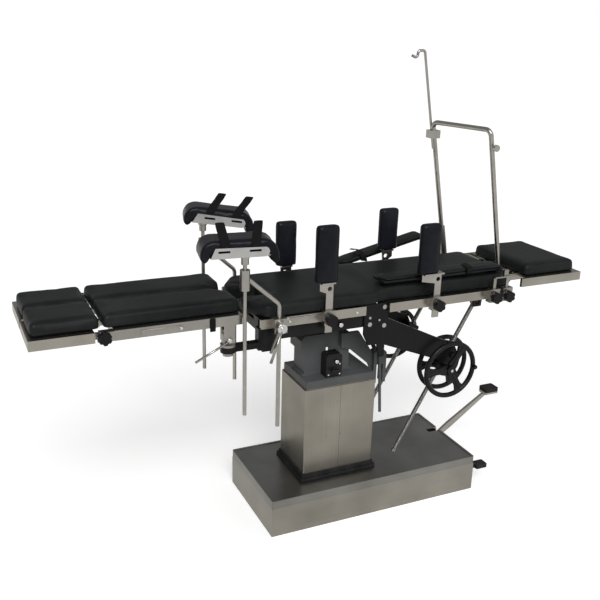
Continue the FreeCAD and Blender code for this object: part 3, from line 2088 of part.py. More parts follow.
# leg holders: a bent rod in a clamp on the seat rail
holder_x = size("holder_x")
holder_y = size("holder_y")
holder_rod = size("holder_rod")
holder_clamp = size("holder_clamp")
holder_deep = (holder_y - rail_out) * 2
rest_x = size("rest_x")
rest_post = size("rest_post")
rest_collar = size("rest_swivel")
collar_low = size("rest_collar_low")
collar_high = size("rest_collar_high")
bend_z = size("holder_bend")
holder_clamps = []
for side, name in SIDES:
    y = holder_y * side
    face = knob_face(side, holder_deep)
    low, high = side_span(side, rail_out + holder_deep, rail_out + holder_deep + knuckle)
    block_cut = cut(
        f"{name}_holder_bored",
        clamp_block(f"{name}_holder", side, holder_x, holder_clamp, holder_deep),
        [
            rod(
                f"{name}_holder_bore",
                (holder_x, y, rail_mid - clamp_high),
                holder_rod + FIT,
                clamp_high * 2,
            )
        ],
    )
    holder_clamps.append(
        fuse(
            f"{name}_holder_clamp",
            [
                block_cut,
                rod(
                    f"{name}_holder_screw",
                    (holder_x, low, rail_mid + waist),
                    swivel,
                    knuckle,
                    "y",
                ),
                leaning_rod(
                    f"{name}_holder_lever",
                    (holder_x, (low + high) / 2, rail_mid + waist),
                    PIN,
                    size("holder_lever"),
                    size("lever_lean"),
                ),
            ],
        )
    )
    collar_z = (collar_low + collar_high) / 2
    bent = shaped(
        f"{name}_holder_bar",
        bent_bar(
            [
                (holder_x, y, size("holder_foot")),
                (holder_x, y, bend_z),
                (rest_x + rest_collar * 0.8, y, collar_z),
            ],
            holder_rod,
            size("holder_bend_radius"),
        ),
    )
    node(
        cut(
            f"{name}_holder_cut",
            fuse(
                f"{name}_holder_body",
                [
                    bent,
                    rod(
                        f"{name}_rest_collar",
                        (rest_x, y, collar_low),
                        rest_collar,
                        collar_high - collar_low,
                    ),
                ],
            ),
            [
                rod(
                    f"{name}_rest_bore",
                    (rest_x, y, collar_low),
                    rest_post + FIT,
                    collar_high - collar_low,
                )
            ],
        ),
        f"{name}_leg_holder",
    )
    plate_z = size("rest_plate_z")
    plate_thick = size("rest_plate_thick")
    plate_half = size("rest_plate_long") / 2
    arch = size("rest_arch_radius")
    arch_thick = size("rest_arch_thick")
    arch_half = size("rest_arch_deep") / 2
    centre_z = size("rest_centre_z")
    tilt = size("rest_arch_tilt")
    plate_y = y - size("rest_inset") * side
    centre = (rest_x, centre_z)
    post_foot = size("rest_post_foot")
    carrier = fuse(
        f"{name}_rest_carrier",
        [
            rod(
                f"{name}_rest_rod",
                (rest_x, y, post_foot),
                rest_post,
                plate_z - post_foot,
            ),
            rod(
                f"{name}_rest_socket",
                (rest_x, y, collar_high + GAP),
                rest_post * 1.6,
                plate_z - collar_high - GAP,
            ),
            box(
                f"{name}_rest_plate",
                (rest_x - plate_half, plate_y - plate_half / 3, plate_z),
                (rest_x + plate_half, plate_y + plate_half / 3, plate_z + plate_thick),
            ),
        ],
    )
    cut_corner = along(centre, -tilt, -arch * 2, -arch * 2 + size("rest_cut"))
    below = box(f"{name}_rest_trim", (0, 0, 0), (arch * 4, arch_half * 4, arch * 2))
    put(
        below,
        (cut_corner[0], plate_y - arch_half * 2, cut_corner[1]),
        Rotation(Vector(0, 1, 0), number(tilt)),
    )
    shell = cut(
        f"{name}_rest_arch_cut",
        rod(f"{name}_rest_outer", (rest_x, plate_y - arch_half, centre_z), arch, arch_half * 2, "y"),
        [
            rod(
                f"{name}_rest_inner",
                (rest_x, plate_y - arch_half, centre_z),
                arch - arch_thick,
                arch_half * 2,
                "y",
            ),
            below,
        ],
    )
    rim_at = arch - arch_thick / 2
    spread = size("rest_spread")
    ends = [along(centre, 90 - tilt + spread * s, rim_at) for s in (-1, 1)]
    rolls = [
        rod(
            f"{name}_rest_roll_{i}",
            (end[0], plate_y - arch_half, end[1]),
            arch_thick * 0.62,
            arch_half * 2,
            "y",
        )
        for i, end in enumerate(ends)
    ]
    stem = box(
        f"{name}_rest_stem",
        (rest_x - bar, plate_y - bar, plate_z + plate_thick),
        (rest_x + bar, plate_y + bar, centre_z + arch - arch_thick / 2),
    )
    shell_set = fuse(f"{name}_rest_shell", [shell, stem] + rolls)
    node(group(f"{name}_rest_set", [carrier, shell_set]), f"{name}_leg_rest")

node(
    group(
        "seat_clamp_set",
        [clamps["near_seat"], clamps["far_seat"]] + holder_clamps,
    ),
    "seat_clamps",
)

# side supports: a flat post, a bracket with a round hole, and a padded rest
pad_half = size("support_pad_wide") / 2
pad_deep = size("support_pad_thick") / 2
for name, side in SUPPORTS:
    post_x = size(f"{name}_post")
    pad_x = size(f"{name}_pad")
    foot = size(f"{name}_foot")
    low, high = side_span(side, post_y - post_thick / 2, post_y + post_thick / 2)
    post_foot = size("support_post_foot")
    shelf_low, shelf_high = side_span(side, post_y - pad_deep * 0.8, post_y + pad_deep * 1.1)
    left = min(post_x - post_half, pad_x - pad_half / 2, key=number)
    right = max(post_x + post_half, pad_x + pad_half / 2, key=number)
    node(
        fuse(
            f"{name}_support_body",
            [
                slab(
                    f"{name}_support_bar",
                    "XZ",
                    [
                        (post_x - post_half, post_foot),
                        (post_x + post_half, post_foot),
                        (post_x + post_half, foot - bar * 2),
                        (right, foot - bar * 1.5),
                        (right, foot - PIN),
                        (left, foot - PIN),
                        (left, foot - bar * 1.5),
                        (post_x - post_half, foot - bar * 2),
                    ],
                    low,
                    post_thick,
                    holes=[((post_x, foot - bar * 1.3), leg_pin)],
                ),
                box(
                    f"{name}_support_shelf",
                    (left, shelf_low, foot - PIN),
                    (right, shelf_high, foot),
                ),
            ],
        ),
        f"{name}_support_post",
    )
    pad_low, pad_high = side_span(side, post_y - pad_deep, post_y + pad_deep * 1.3)
    pad_outline = rectangle(pad_x - pad_half, pad_low, pad_x + pad_half, pad_high)
    cushion = slab(
        f"{name}_support_foam",
        "XY",
        pad_outline,
        foot,
        size(f"{name}_high"),
        rounds=[(pad_deep * 0.9, pad_outline)],
    )
    node(
        soften(cushion, waist * 1.5, False, f"{name}_support_foam_edge"),
        f"{name}_support_pad",
    )

# armboards: padded boards that tip up about a pin across their head end
board_thick = size("arm_pad_thick")
board_wide = size("arm_pad_wide")
board_lug = size("board_lug")
BOARDS = (("near", NEAR, 0), ("far", FAR, size("far_board_tilt")))
for name, side, slope in BOARDS:
    pivot_spot = (size(f"{name}_board_pivot"), size(f"{name}_board_z"))
    edge = size(f"{name}_board_edge")
    inner_edge = edge - board_wide if side == NEAR else edge
    low, high = side_span(side, inner_edge, inner_edge + board_wide)
    long = size(f"{name}_board_long")
    rise = board_lug * 0.4
    ends = [
        along(pivot_spot, slope, -long, rise),
        along(pivot_spot, slope, board_lug, rise),
        along(pivot_spot, slope, board_lug, rise + board_thick),
        along(pivot_spot, slope, -long, rise + board_thick),
    ]
    lug_low, lug_high = side_span(side, inner_edge + waist, inner_edge + board_wide - waist / 2)
    node(
        cut(
            f"{name}_board_cut",
            fuse(
                f"{name}_board_body",
                [
                    slab(
                        f"{name}_board_pad",
                        "XZ",
                        ends,
                        low,
                        board_wide,
                        rounds=[(board_thick * 0.45, ends)],
                    ),
                    rod(
                        f"{name}_board_lug",
                        (pivot_spot[0], lug_low, pivot_spot[1]),
                        board_lug,
                        lug_high - lug_low,
                        "y",
                    ),
                ],
            ),
            [
                rod(
                    f"{name}_board_bore",
                    (pivot_spot[0], low, pivot_spot[1]),
                    small_pin + FIT,
                    board_wide,
                    "y",
                )
            ],
        ),
        f"{name}_armboard",
    )

# brackets on the back rails
back_set = [clamps["near_back"], clamps["far_back"]]
near_pivot = size("near_board_pivot")
near_z = size("near_board_z")
board_leg = size("board_leg") / 2
legs = (size("board_leg_left"), size("board_leg_right"))
bridge_z = near_z - board_lug - lip * 1.4
clamp_top = rail_mid + clamp_high / 2
bracket = []
for i, x in enumerate(legs):
    bracket.append(clamp_block(f"near_board_clamp_{i}", NEAR, x, clamp_half, clamp_deep))
    bracket.append(star_knob(f"near_board_knob_{i}", x, knob_z, knob_face(NEAR, clamp_deep), NEAR))
    bracket.append(
        box(
            f"near_board_leg_{i}",
            (x - board_leg, -post_y - post_thick, clamp_top),
            (x + board_leg, -post_y, bridge_z),
        )
    )
bracket.append(
    box(
        "near_board_bridge",
        (legs[0] - board_leg, -rail_out - clamp_deep, bridge_z),
        (legs[1] + board_leg, -rail_out, bridge_z + lip),
    )
)
bracket.append(
    box(
        "near_board_ear",
        (near_pivot - board_lug, -post_y - post_thick, bridge_z + lip),
        (near_pivot + board_lug, -post_y + post_thick / 2, near_z + board_lug),
    )
)
near_edge = size("near_board_edge")
pin_start = near_edge - board_wide + waist
bracket.append(rod("near_board_pin", (near_pivot, -post_y, near_z), small_pin, post_y - pin_start, "y"))
back_set.append(fuse("near_board_bracket", bracket))

far_pivot = size("far_board_pivot")
far_z = size("far_board_z")
far_edge = size("far_board_edge")
back_set.append(
    fuse(
        "far_board_bracket",
        [
            clamp_block("far_board_clamp", FAR, far_pivot, clamp_half, clamp_deep),
            star_knob("far_board_knob", far_pivot, knob_z, knob_face(FAR, clamp_deep), FAR),
            box(
                "far_board_leg",
                (far_pivot - board_leg, post_y, clamp_top),
                (far_pivot + board_leg, post_y + post_thick, far_z + board_lug),
            ),
            rod(
                "far_board_pin",
                (far_pivot, post_y, far_z),
                small_pin,
                far_edge + board_wide - waist - post_y,
                "y",
            ),
        ],
    )
)

# screen frame: a bent round bar that leans in a sleeve on the far rail
slant = size("screen_lean")
screen_rod = size("screen_rod")
screen_y = size("screen_y")
screen_top = size("screen_top")
screen_foot = size("screen_foot")
top_x = size("screen_top_x")
steep = sine(slant) / cosine(slant)


def screen_at(z):
    return top_x + (screen_top - z) * steep


clamp_x = screen_at(rail_mid)
sleeve_top = size("sleeve_top")
screen_deep = (screen_y - rail_out) * 2
sleeve_long = (sleeve_top - rail_mid) / cosine(slant)
back_set.append(
    cut(
        "screen_sleeve_bored",
        fuse(
            "screen_sleeve",
            [
                clamp_block("screen_clamp", FAR, clamp_x, clamp_half * 0.8, screen_deep),
                star_knob("screen_knob", clamp_x, knob_z, knob_face(FAR, screen_deep), FAR),
                leaning_rod(
                    "screen_tube", (clamp_x, screen_y, rail_mid), screen_rod * 1.5, sleeve_long, -slant
                ),
            ],
        ),
        [
            leaning_rod(
                "screen_bore",
                (screen_at(rail_mid - clamp_high), screen_y, rail_mid - clamp_high),
                screen_rod + FIT,
                sleeve_long + clamp_high * 2,
                -slant,
            )
        ],
    )
)
node(group("back_clamp_set", back_set), "back_clamps")

near_foot = size("screen_near_foot")
shift = size("screen_near_x")
near_y = size("screen_near_y")
screen_bar = shaped(
    "screen_bar",
    bent_bar(
        [
            (screen_at(screen_foot), screen_y, screen_foot),
            (top_x, screen_y, screen_top),
            (top_x + shift, near_y, screen_top),
            (screen_at(near_foot) + shift, near_y, near_foot),
        ],
        screen_rod,
        size("screen_bend"),
    ),
)
iv_rod = size("iv_rod")
iv_y = screen_y + screen_rod + iv_rod + 1
iv_grip_low = size("iv_grip_low")
iv_grip_top = size("iv_grip_top")
grip_x = screen_at((iv_grip_low + iv_grip_top) / 2)
hook_z = size("screen_hook_z")
node(
    cut(
        "screen_cut",
        fuse(
            "screen_body",
            [
                screen_bar,
                box(
                    "iv_grip",
                    (grip_x - bar, screen_y - screen_rod - lip, iv_grip_low),
                    (grip_x + bar, iv_y + iv_rod + lip, iv_grip_top),
                ),
                rod(
                    "screen_hook_stud",
                    (screen_at(hook_z) + shift, near_y - bar, hook_z),
                    small_pin,
                    bar,
                    "y",
                ),
                rod(
                    "screen_hook_knob",
                    (screen_at(hook_z) + shift, near_y - bar - knuckle, hook_z),
                    swivel,
                    knuckle,
                    "y",
                ),
            ],
        ),
        [
            leaning_rod(
                "iv_bore",
                (screen_at(iv_grip_low - bar), iv_y, iv_grip_low - bar),
                iv_rod + FIT,
                bar * 6,
                -slant,
            )
        ],
    ),
    "screen_frame",
)
iv_top = size("iv_top")
iv_foot = size("iv_foot")
hook = size("iv_hook")
node(
    shaped(
        "iv_bar",
        bent_bar(
            [
                (screen_at(iv_foot), iv_y, iv_foot),
                (screen_at(iv_top), iv_y, iv_top),
                (screen_at(iv_top) - hook * 3, iv_y, iv_top),
                (screen_at(iv_top) - hook * 3.5, iv_y, iv_top - hook * 3),
                (screen_at(iv_top) - hook * 6, iv_y, iv_top - hook * 2),
            ],
            iv_rod,
            hook,
        ),
    ),
    "iv_rod",
)

doc.recompute()
os.makedirs("parts", exist_ok=True)
for thing in NODES:
    shape = thing.Shape
    if shape.isNull() or not shape.isValid() or not shape.Solids:
        raise RuntimeError(f"{thing.Label} has no sound solid")
    shape.exportStep(f"parts/{thing.Label}.step")
broken = [o.Name for o in doc.Objects if {"Invalid", "Error"} & set(o.State)]
if broken:
    raise RuntimeError(f"features with errors: {broken}")
print(len(NODES), "sub-parts written")
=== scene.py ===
"""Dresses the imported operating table.

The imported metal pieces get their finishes. Upholstery, straps and small fittings are new meshes.
"""

import math

import bmesh
import bpy
from mathutils import Matrix, Vector


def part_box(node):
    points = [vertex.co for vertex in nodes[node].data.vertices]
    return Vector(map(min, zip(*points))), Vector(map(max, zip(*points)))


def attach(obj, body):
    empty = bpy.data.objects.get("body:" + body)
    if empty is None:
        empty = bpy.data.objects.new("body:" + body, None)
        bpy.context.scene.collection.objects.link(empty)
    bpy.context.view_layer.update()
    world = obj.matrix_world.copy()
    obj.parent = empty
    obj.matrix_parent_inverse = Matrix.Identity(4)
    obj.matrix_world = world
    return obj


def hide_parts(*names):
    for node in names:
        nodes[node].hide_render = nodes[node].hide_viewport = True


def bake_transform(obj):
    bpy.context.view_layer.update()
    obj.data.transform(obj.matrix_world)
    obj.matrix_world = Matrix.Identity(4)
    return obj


MM = 0.001

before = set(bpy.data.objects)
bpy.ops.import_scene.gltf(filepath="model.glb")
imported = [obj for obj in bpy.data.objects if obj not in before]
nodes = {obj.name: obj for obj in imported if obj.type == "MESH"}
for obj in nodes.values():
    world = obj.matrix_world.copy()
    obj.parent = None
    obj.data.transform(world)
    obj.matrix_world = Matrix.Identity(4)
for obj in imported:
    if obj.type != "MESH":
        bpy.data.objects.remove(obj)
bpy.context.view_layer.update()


# shader tools


class Socket:
    """A value in a shader tree. Python's operators on it add Math nodes."""

    def __init__(self, tree, output):
        self.tree = tree
        self.output = output

    def calculate(self, operation, first, second):
        node = self.tree.nodes.new("ShaderNodeMath")
        node.operation = operation
        feed(self.tree, node.inputs[0], first)
        feed(self.tree, node.inputs[1], second)
        return Socket(self.tree, node.outputs[0])

    def __add__(self, other):
        return self.calculate("ADD", self, other)

    __radd__ = __add__

    def __sub__(self, other):
        return self.calculate("SUBTRACT", self, other)

    def __rsub__(self, other):
        return self.calculate("SUBTRACT", other, self)

    def __mul__(self, other):
        return self.calculate("MULTIPLY", self, other)

    __rmul__ = __mul__

    def __gt__(self, other):
        return self.calculate("GREATER_THAN", self, other)


def feed(tree, slot, value):
    if isinstance(value, Socket):
        tree.links.new(value.output, slot)
    else:
        slot.default_value = value


def colour(red, green, blue):
    return (red, green, blue, 1.0)


class Finish:
    """One material, built from nodes on object coordinates."""

    def __init__(self, name):
        self.material = bpy.data.materials.new(name)
        self.material.use_nodes = True
        self.tree = self.material.node_tree
        self.shader = self.tree.nodes["Principled BSDF"]
        self.place = self.add("ShaderNodeTexCoord", output="Object")

    def add(self, kind, inputs=None, output=0, **settings):
        node = self.tree.nodes.new(kind)
        for setting, value in settings.items():
            setattr(node, setting, value)
        for slot, value in (inputs or {}).items():
            feed(self.tree, node.inputs[slot], value)
        return Socket(self.tree, node.outputs[output])

    def stretch(self, x, y, z, turn=(0, 0, 0)):
        """Object coordinates multiplied along each axis, for streaks and threads."""
        return self.add(
            "ShaderNodeMapping", {"Vector": self.place, "Scale": (x, y, z), "Rotation": turn}
        )

    def noise(self, scale, detail=3.0, vector=None, roughness=0.5):
        return self.add(
            "ShaderNodeTexNoise",
            {
                "Vector": vector or self.place,
                "Scale": scale,
                "Detail": detail,
                "Roughness": roughness,
            },
        )

    def cells(self, scale):
        return self.add("ShaderNodeTexVoronoi", {"Vector": self.place, "Scale": scale})

    def blend(self, amount, first, second):
        return self.add(
            "ShaderNodeMix", {0: amount, 6: first, 7: second}, output=2, data_type="RGBA"
        )

    def spread(self, value, low, high):
        """Stretches the part of a pattern between low and high over 0 to 1."""
        return self.add(
            "ShaderNodeMapRange", {"Value": value, "From Min": low, "From Max": high}
        )

    def bump(self, height, distance, strength=1.0):
        return self.add(
            "ShaderNodeBump", {"Height": height, "Distance": distance, "Strength": strength}
        )

    def set(self, **sockets):
        for name, value in sockets.items():
            feed(self.tree, self.shader.inputs[name.replace("_", " ").title()], value)
        return self

    def constants(self, **sockets):
        for name, value in sockets.items():
            self.shader.inputs[name.replace("_", " ")].default_value = value
        return self


def brushed_sheet(name, light, dark, stretch, rough=0.3):
    """Sheet metal brushed along one axis, with broad cloudy tone."""
    finish = Finish(name)
    streak = finish.noise(1.0, 4.0, finish.stretch(*stretch))
    cloud = finish.noise(5.0, 2.0)
    tone = finish.spread(streak * 0.22 + cloud * 0.78, 0.3, 0.7)
    return finish.set(
        base_color=finish.blend(tone, dark, light),
        metallic=1.0,
        roughness=streak * 0.16 + cloud * 0.1 + (rough - 0.13),
        normal=finish.bump(streak, 0.00012, 0.5),
    )


def enamel(name, shade, worn, rough=0.32, coat=0.04):
    """Stove enamel over cast or welded steel: faint orange peel, dusty patches and small chips."""
    finish = Finish(name)
    patch = finish.noise(14.0, 4.0)
    peel = finish.noise(260.0, 2.0)
    fleck = finish.spread(finish.noise(70.0, 6.0, roughness=0.7), 0.70, 0.76)
    dusty = finish.blend(finish.spread(patch, 0.35, 0.75) * 0.5, shade, worn)
    return finish.set(
        base_color=finish.blend(fleck * 0.35, dusty, worn),
        roughness=patch * 0.18 + (rough - 0.06) + fleck * 0.2,
        normal=finish.bump(peel, 0.0001, 0.35),
    ).constants(Coat_Weight=coat, Coat_Roughness=0.18, Specular_IOR_Level=0.22)


def clamp_set(name, knob_from, levers=None):
    """Satin steel fittings whose star knobs, which lie beyond knob_from, are black plastic.

    Where levers is given, only what has a greater X than that is a knob.
    """
    finish = Finish(name)
    across = finish.add("ShaderNodeSeparateXYZ", {"Vector": finish.place}, output="Y")
    out = finish.add("ShaderNodeMath", {0: across}, operation="ABSOLUTE")
    knob = out > knob_from
    if levers:
        along = finish.add("ShaderNodeSeparateXYZ", {"Vector": finish.place}, output="X")
        knob = knob * (along > levers)
    smear = finish.noise(22.0, 5.0)
    speck = finish.noise(420.0, 3.0)
    steel = finish.blend(smear, colour(0.46, 0.44, 0.41), colour(0.30, 0.29, 0.27))
    plastic = finish.blend(speck, colour(0.005, 0.005, 0.006), colour(0.014, 0.014, 0.015))
    return finish.set(
        base_color=finish.blend(knob, steel, plastic),
        metallic=1.0 - knob,
        roughness=smear * 0.12 + 0.24 + knob * 0.1,
        normal=finish.bump(speck, 0.00012, 0.5),
    ).constants(Specular_IOR_Level=0.2)


def bolted_plate(name, plate_face):
    """Black enamelled plates whose bolts, which lie beyond plate_face, are bright."""
    finish = Finish(name)
    across = finish.add("ShaderNodeSeparateXYZ", {"Vector": finish.place}, output="Y")
    out = finish.add("ShaderNodeMath", {0: across}, operation="ABSOLUTE")
    bolt = out > plate_face
    patch = finish.noise(14.0, 4.0)
    peel = finish.noise(260.0, 2.0)
    black = finish.blend(patch * 0.5, colour(0.004, 0.004, 0.005), colour(0.018, 0.018, 0.019))
    bright = finish.blend(patch, colour(0.62, 0.61, 0.60), colour(0.40, 0.40, 0.39))
    return finish.set(
        base_color=finish.blend(bolt, black, bright),
        metallic=bolt * 1.0,
        roughness=patch * 0.15 + 0.26,
        normal=finish.bump(peel, 0.0001, 0.35),
    ).constants(Specular_IOR_Level=0.2)


def plated(name, shade, rough):
    """Plated or polished steel, with faint smears."""
    finish = Finish(name)
    smear = finish.noise(18.0, 5.0)
    scratch = finish.noise(1.0, 3.0, finish.stretch(30.0, 30.0, 900.0))
    return finish.set(
        base_color=finish.blend(
            finish.spread(smear, 0.3, 0.7), shade, colour(*[c * 0.8 for c in shade[:3]])
        ),
        metallic=1.0,
        roughness=smear * 0.14 + scratch * 0.06 + rough,
        normal=finish.bump(scratch, 0.00005, 0.3),
    )


WAVE_SCALE = 20


def thread(name, lean, pitch=4.0 * MM):
    """Steel with a screw thread cut round a bar that leans in the XZ plane; its colour has painted
    shade in the grooves and painted highlight on the crests.
    """
    finish = Finish(name)
    along = finish.add("ShaderNodeMapping", {"Vector": finish.place, "Rotation": (0, -lean, 0)})
    ridge = finish.add(
        "ShaderNodeTexWave",
        {"Vector": along, "Scale": math.tau / (WAVE_SCALE * pitch), "Distortion": 0.0},
        output="Fac",
        bands_direction="Z",
    )
    grease = finish.noise(40.0, 3.0)
    # the colour is dark in the thread's grooves and bright on its crests, which is painted shade
    # and painted highlight; the grease noise adds random grime
    return finish.set(
        base_color=finish.blend(
            ridge * 0.75 + grease * 0.2, colour(0.10, 0.095, 0.09), colour(0.60, 0.59, 0.57)
        ),
        metallic=1.0,
        roughness=0.5 - ridge * 0.2,
        normal=finish.bump(ridge, 0.0012, 1.0),
    )


def leathercloth(name, shade, lift, gloss=0.42, grain=0.00022):
    """Upholstery cloth with a fine leather grain, creases and a slight sheen; its colour has
    painted shade in the creases.
    """
    finish = Finish(name)
    pebble = finish.cells(520.0)
    pore = finish.cells(1400.0)
    crease = finish.noise(26.0, 5.0, roughness=0.6)
    cloud = finish.noise(4.5, 2.0)
    # random cloudy tone, plus painted shade: the colour is darker in the creases' hollows and
    # lighter on their ridges
    tone = finish.spread(cloud * 0.6 + crease * 0.4, 0.35, 0.65)
    return finish.set(
        base_color=finish.blend(tone, shade, lift),
        roughness=gloss - 0.09 + crease * 0.16 + pebble * 0.05,
        normal=finish.bump(pebble * 0.7 + pore * 0.3 + crease * 1.4, grain, 0.8),
    ).constants(Specular_IOR_Level=0.16)


def webbing(name, shade, lift):
    """Woven strap: fine ribs both ways."""
    finish = Finish(name)
    ribs = finish.add(
        "ShaderNodeTexWave", {"Vector": finish.place, "Scale": 260.0}, output="Fac"
    )
    cross = finish.add(
        "ShaderNodeTexWave",
        {"Vector": finish.place, "Scale": 180.0},
        output="Fac",
        bands_direction="Z",
    )
    weave = ribs * cross
    return finish.set(
        base_color=finish.blend(weave, shade, lift),
        roughness=0.85 - weave * 0.2,
        normal=finish.bump(weave, 0.0005, 0.9),
    ).constants(Specular_IOR_Level=0.2)


def moulded(name, shade, lift, rough):
    """Moulded rubber or plastic with a fine matte texture."""
    finish = Finish(name)
    speck = finish.noise(420.0, 3.0)
    bloom = finish.noise(20.0, 3.0)
    return finish.set(
        base_color=finish.blend(finish.spread(bloom, 0.4, 0.8) * 0.6, shade, lift),
        roughness=rough + speck * 0.12,
        normal=finish.bump(speck, 0.00015, 0.6),
    ).constants(Specular_IOR_Level=0.25)


# how the lifting screws lean, and how far from the middle the painted or plated faces end
SCREW_LEAN = math.radians(29)
CLAMP_FACE = 209.8 * MM
HOLDER_END = -380.0 * MM
LEG_RAIL_FACE = 189.5 * MM
ARM_FACE = 174.2 * MM

STAINLESS_SIDE = brushed_sheet(
    "stainless_side",
    colour(0.40, 0.38, 0.345),
    colour(0.26, 0.25, 0.225),
    (3.0, 3.0, 420.0),
    0.34,
)
STAINLESS_COVER = brushed_sheet(
    "stainless_cover",
    colour(0.43, 0.40, 0.355),
    colour(0.28, 0.265, 0.235),
    (380.0, 380.0, 2.5),
    0.36,
)
STAINLESS_LID = brushed_sheet(
    "stainless_lid",
    colour(0.34, 0.335, 0.32),
    colour(0.20, 0.20, 0.19),
    (3.0, 420.0, 420.0),
    0.32,
)
RAIL_STEEL = brushed_sheet(
    "rail_steel", colour(0.50, 0.475, 0.43), colour(0.34, 0.32, 0.285), (4.0, 300.0, 500.0), 0.28
)
BRIGHT_STEEL = plated("bright_steel", colour(0.50, 0.48, 0.45), 0.18)
PLATE_STEEL = plated("rest_plate_steel", colour(0.66, 0.66, 0.66), 0.34)
SATIN_STEEL = plated("satin_steel", colour(0.44, 0.42, 0.39), 0.26)
CLAMPS = clamp_set("rail_clamps", CLAMP_FACE)
SEAT_CLAMPS = clamp_set("seat_rail_clamps", CLAMP_FACE, HOLDER_END)
LEG_STEEL = clamp_set("leg_frame_steel", LEG_RAIL_FACE)
BOLTED = bolted_plate("bolted_arms", ARM_FACE)
CHROME = plated("chrome", colour(0.80, 0.80, 0.80), 0.05)
SCREW_THREAD = thread("lifting_screw_thread", SCREW_LEAN)
BLACK_ENAMEL = enamel("black_enamel", colour(0.004, 0.004, 0.005), colour(0.02, 0.02, 0.021))
GREY_ENAMEL = enamel("grey_enamel", colour(0.095, 0.102, 0.104), colour(0.15, 0.155, 0.155))
DARK_ENAMEL = enamel("dark_enamel", colour(0.008, 0.008, 0.009), colour(0.035, 0.035, 0.037))
CASTING = enamel("ballast_casting", colour(0.05, 0.05, 0.05), colour(0.09, 0.085, 0.08), 0.6, 0.0)
RUBBER = moulded("black_rubber", colour(0.012, 0.012, 0.012), colour(0.04, 0.04, 0.04), 0.6)
CUSHION_CLOTH = leathercloth(
    "cushion_leathercloth", colour(0.008, 0.009, 0.0095), colour(0.0195, 0.0225, 0.0225)
)
PAD_CLOTH = leathercloth(
    "pad_leathercloth", colour(0.005, 0.0055, 0.008), colour(0.014, 0.015, 0.022), 0.30, 0.00015
)
STRAP_WEB = webbing("strap_webbing", colour(0.004, 0.004, 0.005), colour(0.016, 0.016, 0.018))

NODE_FINISHES = {
    STAINLESS_SIDE: ("base_side_panels",),
    STAINLESS_COVER: ("column_covers", "inner_sleeve"),
    STAINLESS_LID: ("base_lid",),
    RAIL_STEEL: (
        "seat_rails",
        "back_rails",
        "near_foot_frame",
        "far_foot_frame",
        "head_frame",
    ),
    BRIGHT_STEEL: (
        "pump_lever",
        "screen_frame",
        "iv_rod",
        "near_leg_holder",
        "far_leg_holder",
        "near_seat_support_post",
        "far_seat_support_post",
        "near_back_support_post",
        "far_back_support_post",
    ),
    CHROME: ("lift_ram",),
    SCREW_THREAD: ("near_lift_screw", "far_lift_screw"),
    BLACK_ENAMEL: (
        "seat_frame",
        "back_frame",
        "near_handwheel",
        "far_handwheel",
        "inner_handwheel",
    ),
    CLAMPS: ("back_clamps",),
    SEAT_CLAMPS: ("seat_clamps",),
    LEG_STEEL: ("near_leg_frame", "far_leg_frame"),
    BOLTED: ("control_arms",),
    SATIN_STEEL: ("near_leg_swivel", "far_leg_swivel"),
    GREY_ENAMEL: ("cap_plate", "tilt_pillars", "tilt_arm", "tilt_cradle"),
    DARK_ENAMEL: ("tilt_gearbox", "near_gearbox", "far_gearbox"),
    CASTING: ("base_casting", "lift_cylinder"),
    RUBBER: ("column_skirt", "pump_pad", "release_pedal"),
}


def paint(thing, finish):
    thing.data.materials.clear()
    thing.data.materials.append(finish.material)


for finish, names in NODE_FINISHES.items():
    for name in names:
        paint(nodes[name], finish)


# mesh tools

TINY = 1e-6


def piece(name, shape, finish, body, smooth=True):
    """Turns a finished bmesh into an object that rides on a body."""
    bmesh.ops.recalc_face_normals(shape, faces=shape.faces)
    mesh = bpy.data.meshes.new(name)
    shape.to_mesh(mesh)
    shape.free()
    for face in mesh.polygons:
        face.use_smooth = smooth
    thing = bpy.data.objects.new(name, mesh)
    bpy.context.scene.collection.objects.link(thing)
    mesh.materials.append(finish.material)
    if body:
        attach(thing, body)
    return thing


def round_edges(shape, edges, radius, segments):
    """Rounds some edges of a shape."""
    bmesh.ops.bevel(
        shape,
        geom=edges,
        offset=radius,
        offset_type="OFFSET",
        segments=segments,
        profile=0.5,
        affect="EDGES",
        clamp_overlap=True,
        material=-1,
    )


def prism(outline, low, high):
    """A closed block with an outline in X and Y."""
    shape = bmesh.new()
    rim = [shape.verts.new((x, y, low)) for x, y in outline]
    floor = shape.faces.new(rim)
    grown = bmesh.ops.extrude_face_region(shape, geom=[floor])
    raised = [g for g in grown["geom"] if isinstance(g, bmesh.types.BMVert)]
    bmesh.ops.translate(shape, verts=raised, vec=(0, 0, high - low))
    if len(shape.faces) == len(outline) + 1:
        shape.faces.new(rim)
    bmesh.ops.recalc_face_normals(shape, faces=shape.faces)
    return shape


def applied(thing):
    """Bakes an object's modifiers into its mesh."""
    graph = bpy.context.evaluated_depsgraph_get()
    graph.update()
    mesh = bpy.data.meshes.new_from_object(thing.evaluated_get(graph))
    old = thing.data
    thing.modifiers.clear()
    thing.data = mesh
    bpy.data.meshes.remove(old)


# upholstery

VOXEL = 6.0 * MM
SWELL_FRAMES = 20
SWELL_PRESSURE = 4.0
SWELL_STEPS = 4
SMOOTHINGS = 3
EDGE_ROUND = 9.0 * MM
INSET = 2.5 * MM


def inset_outline(outline, amount):
    """The outline moved inwards, so that the swollen pad keeps its size."""
    centre_x = (min(x for x, y in outline) + max(x for x, y in outline)) / 2
    centre_y = (min(y for x, y in outline) + max(y for x, y in outline)) / 2
    moved = []
    for x, y in outline:
        dx = amount if x < centre_x else -amount
        dy = amount if y < centre_y else -amount
        moved.append((x + dx, y + dy))
    return moved


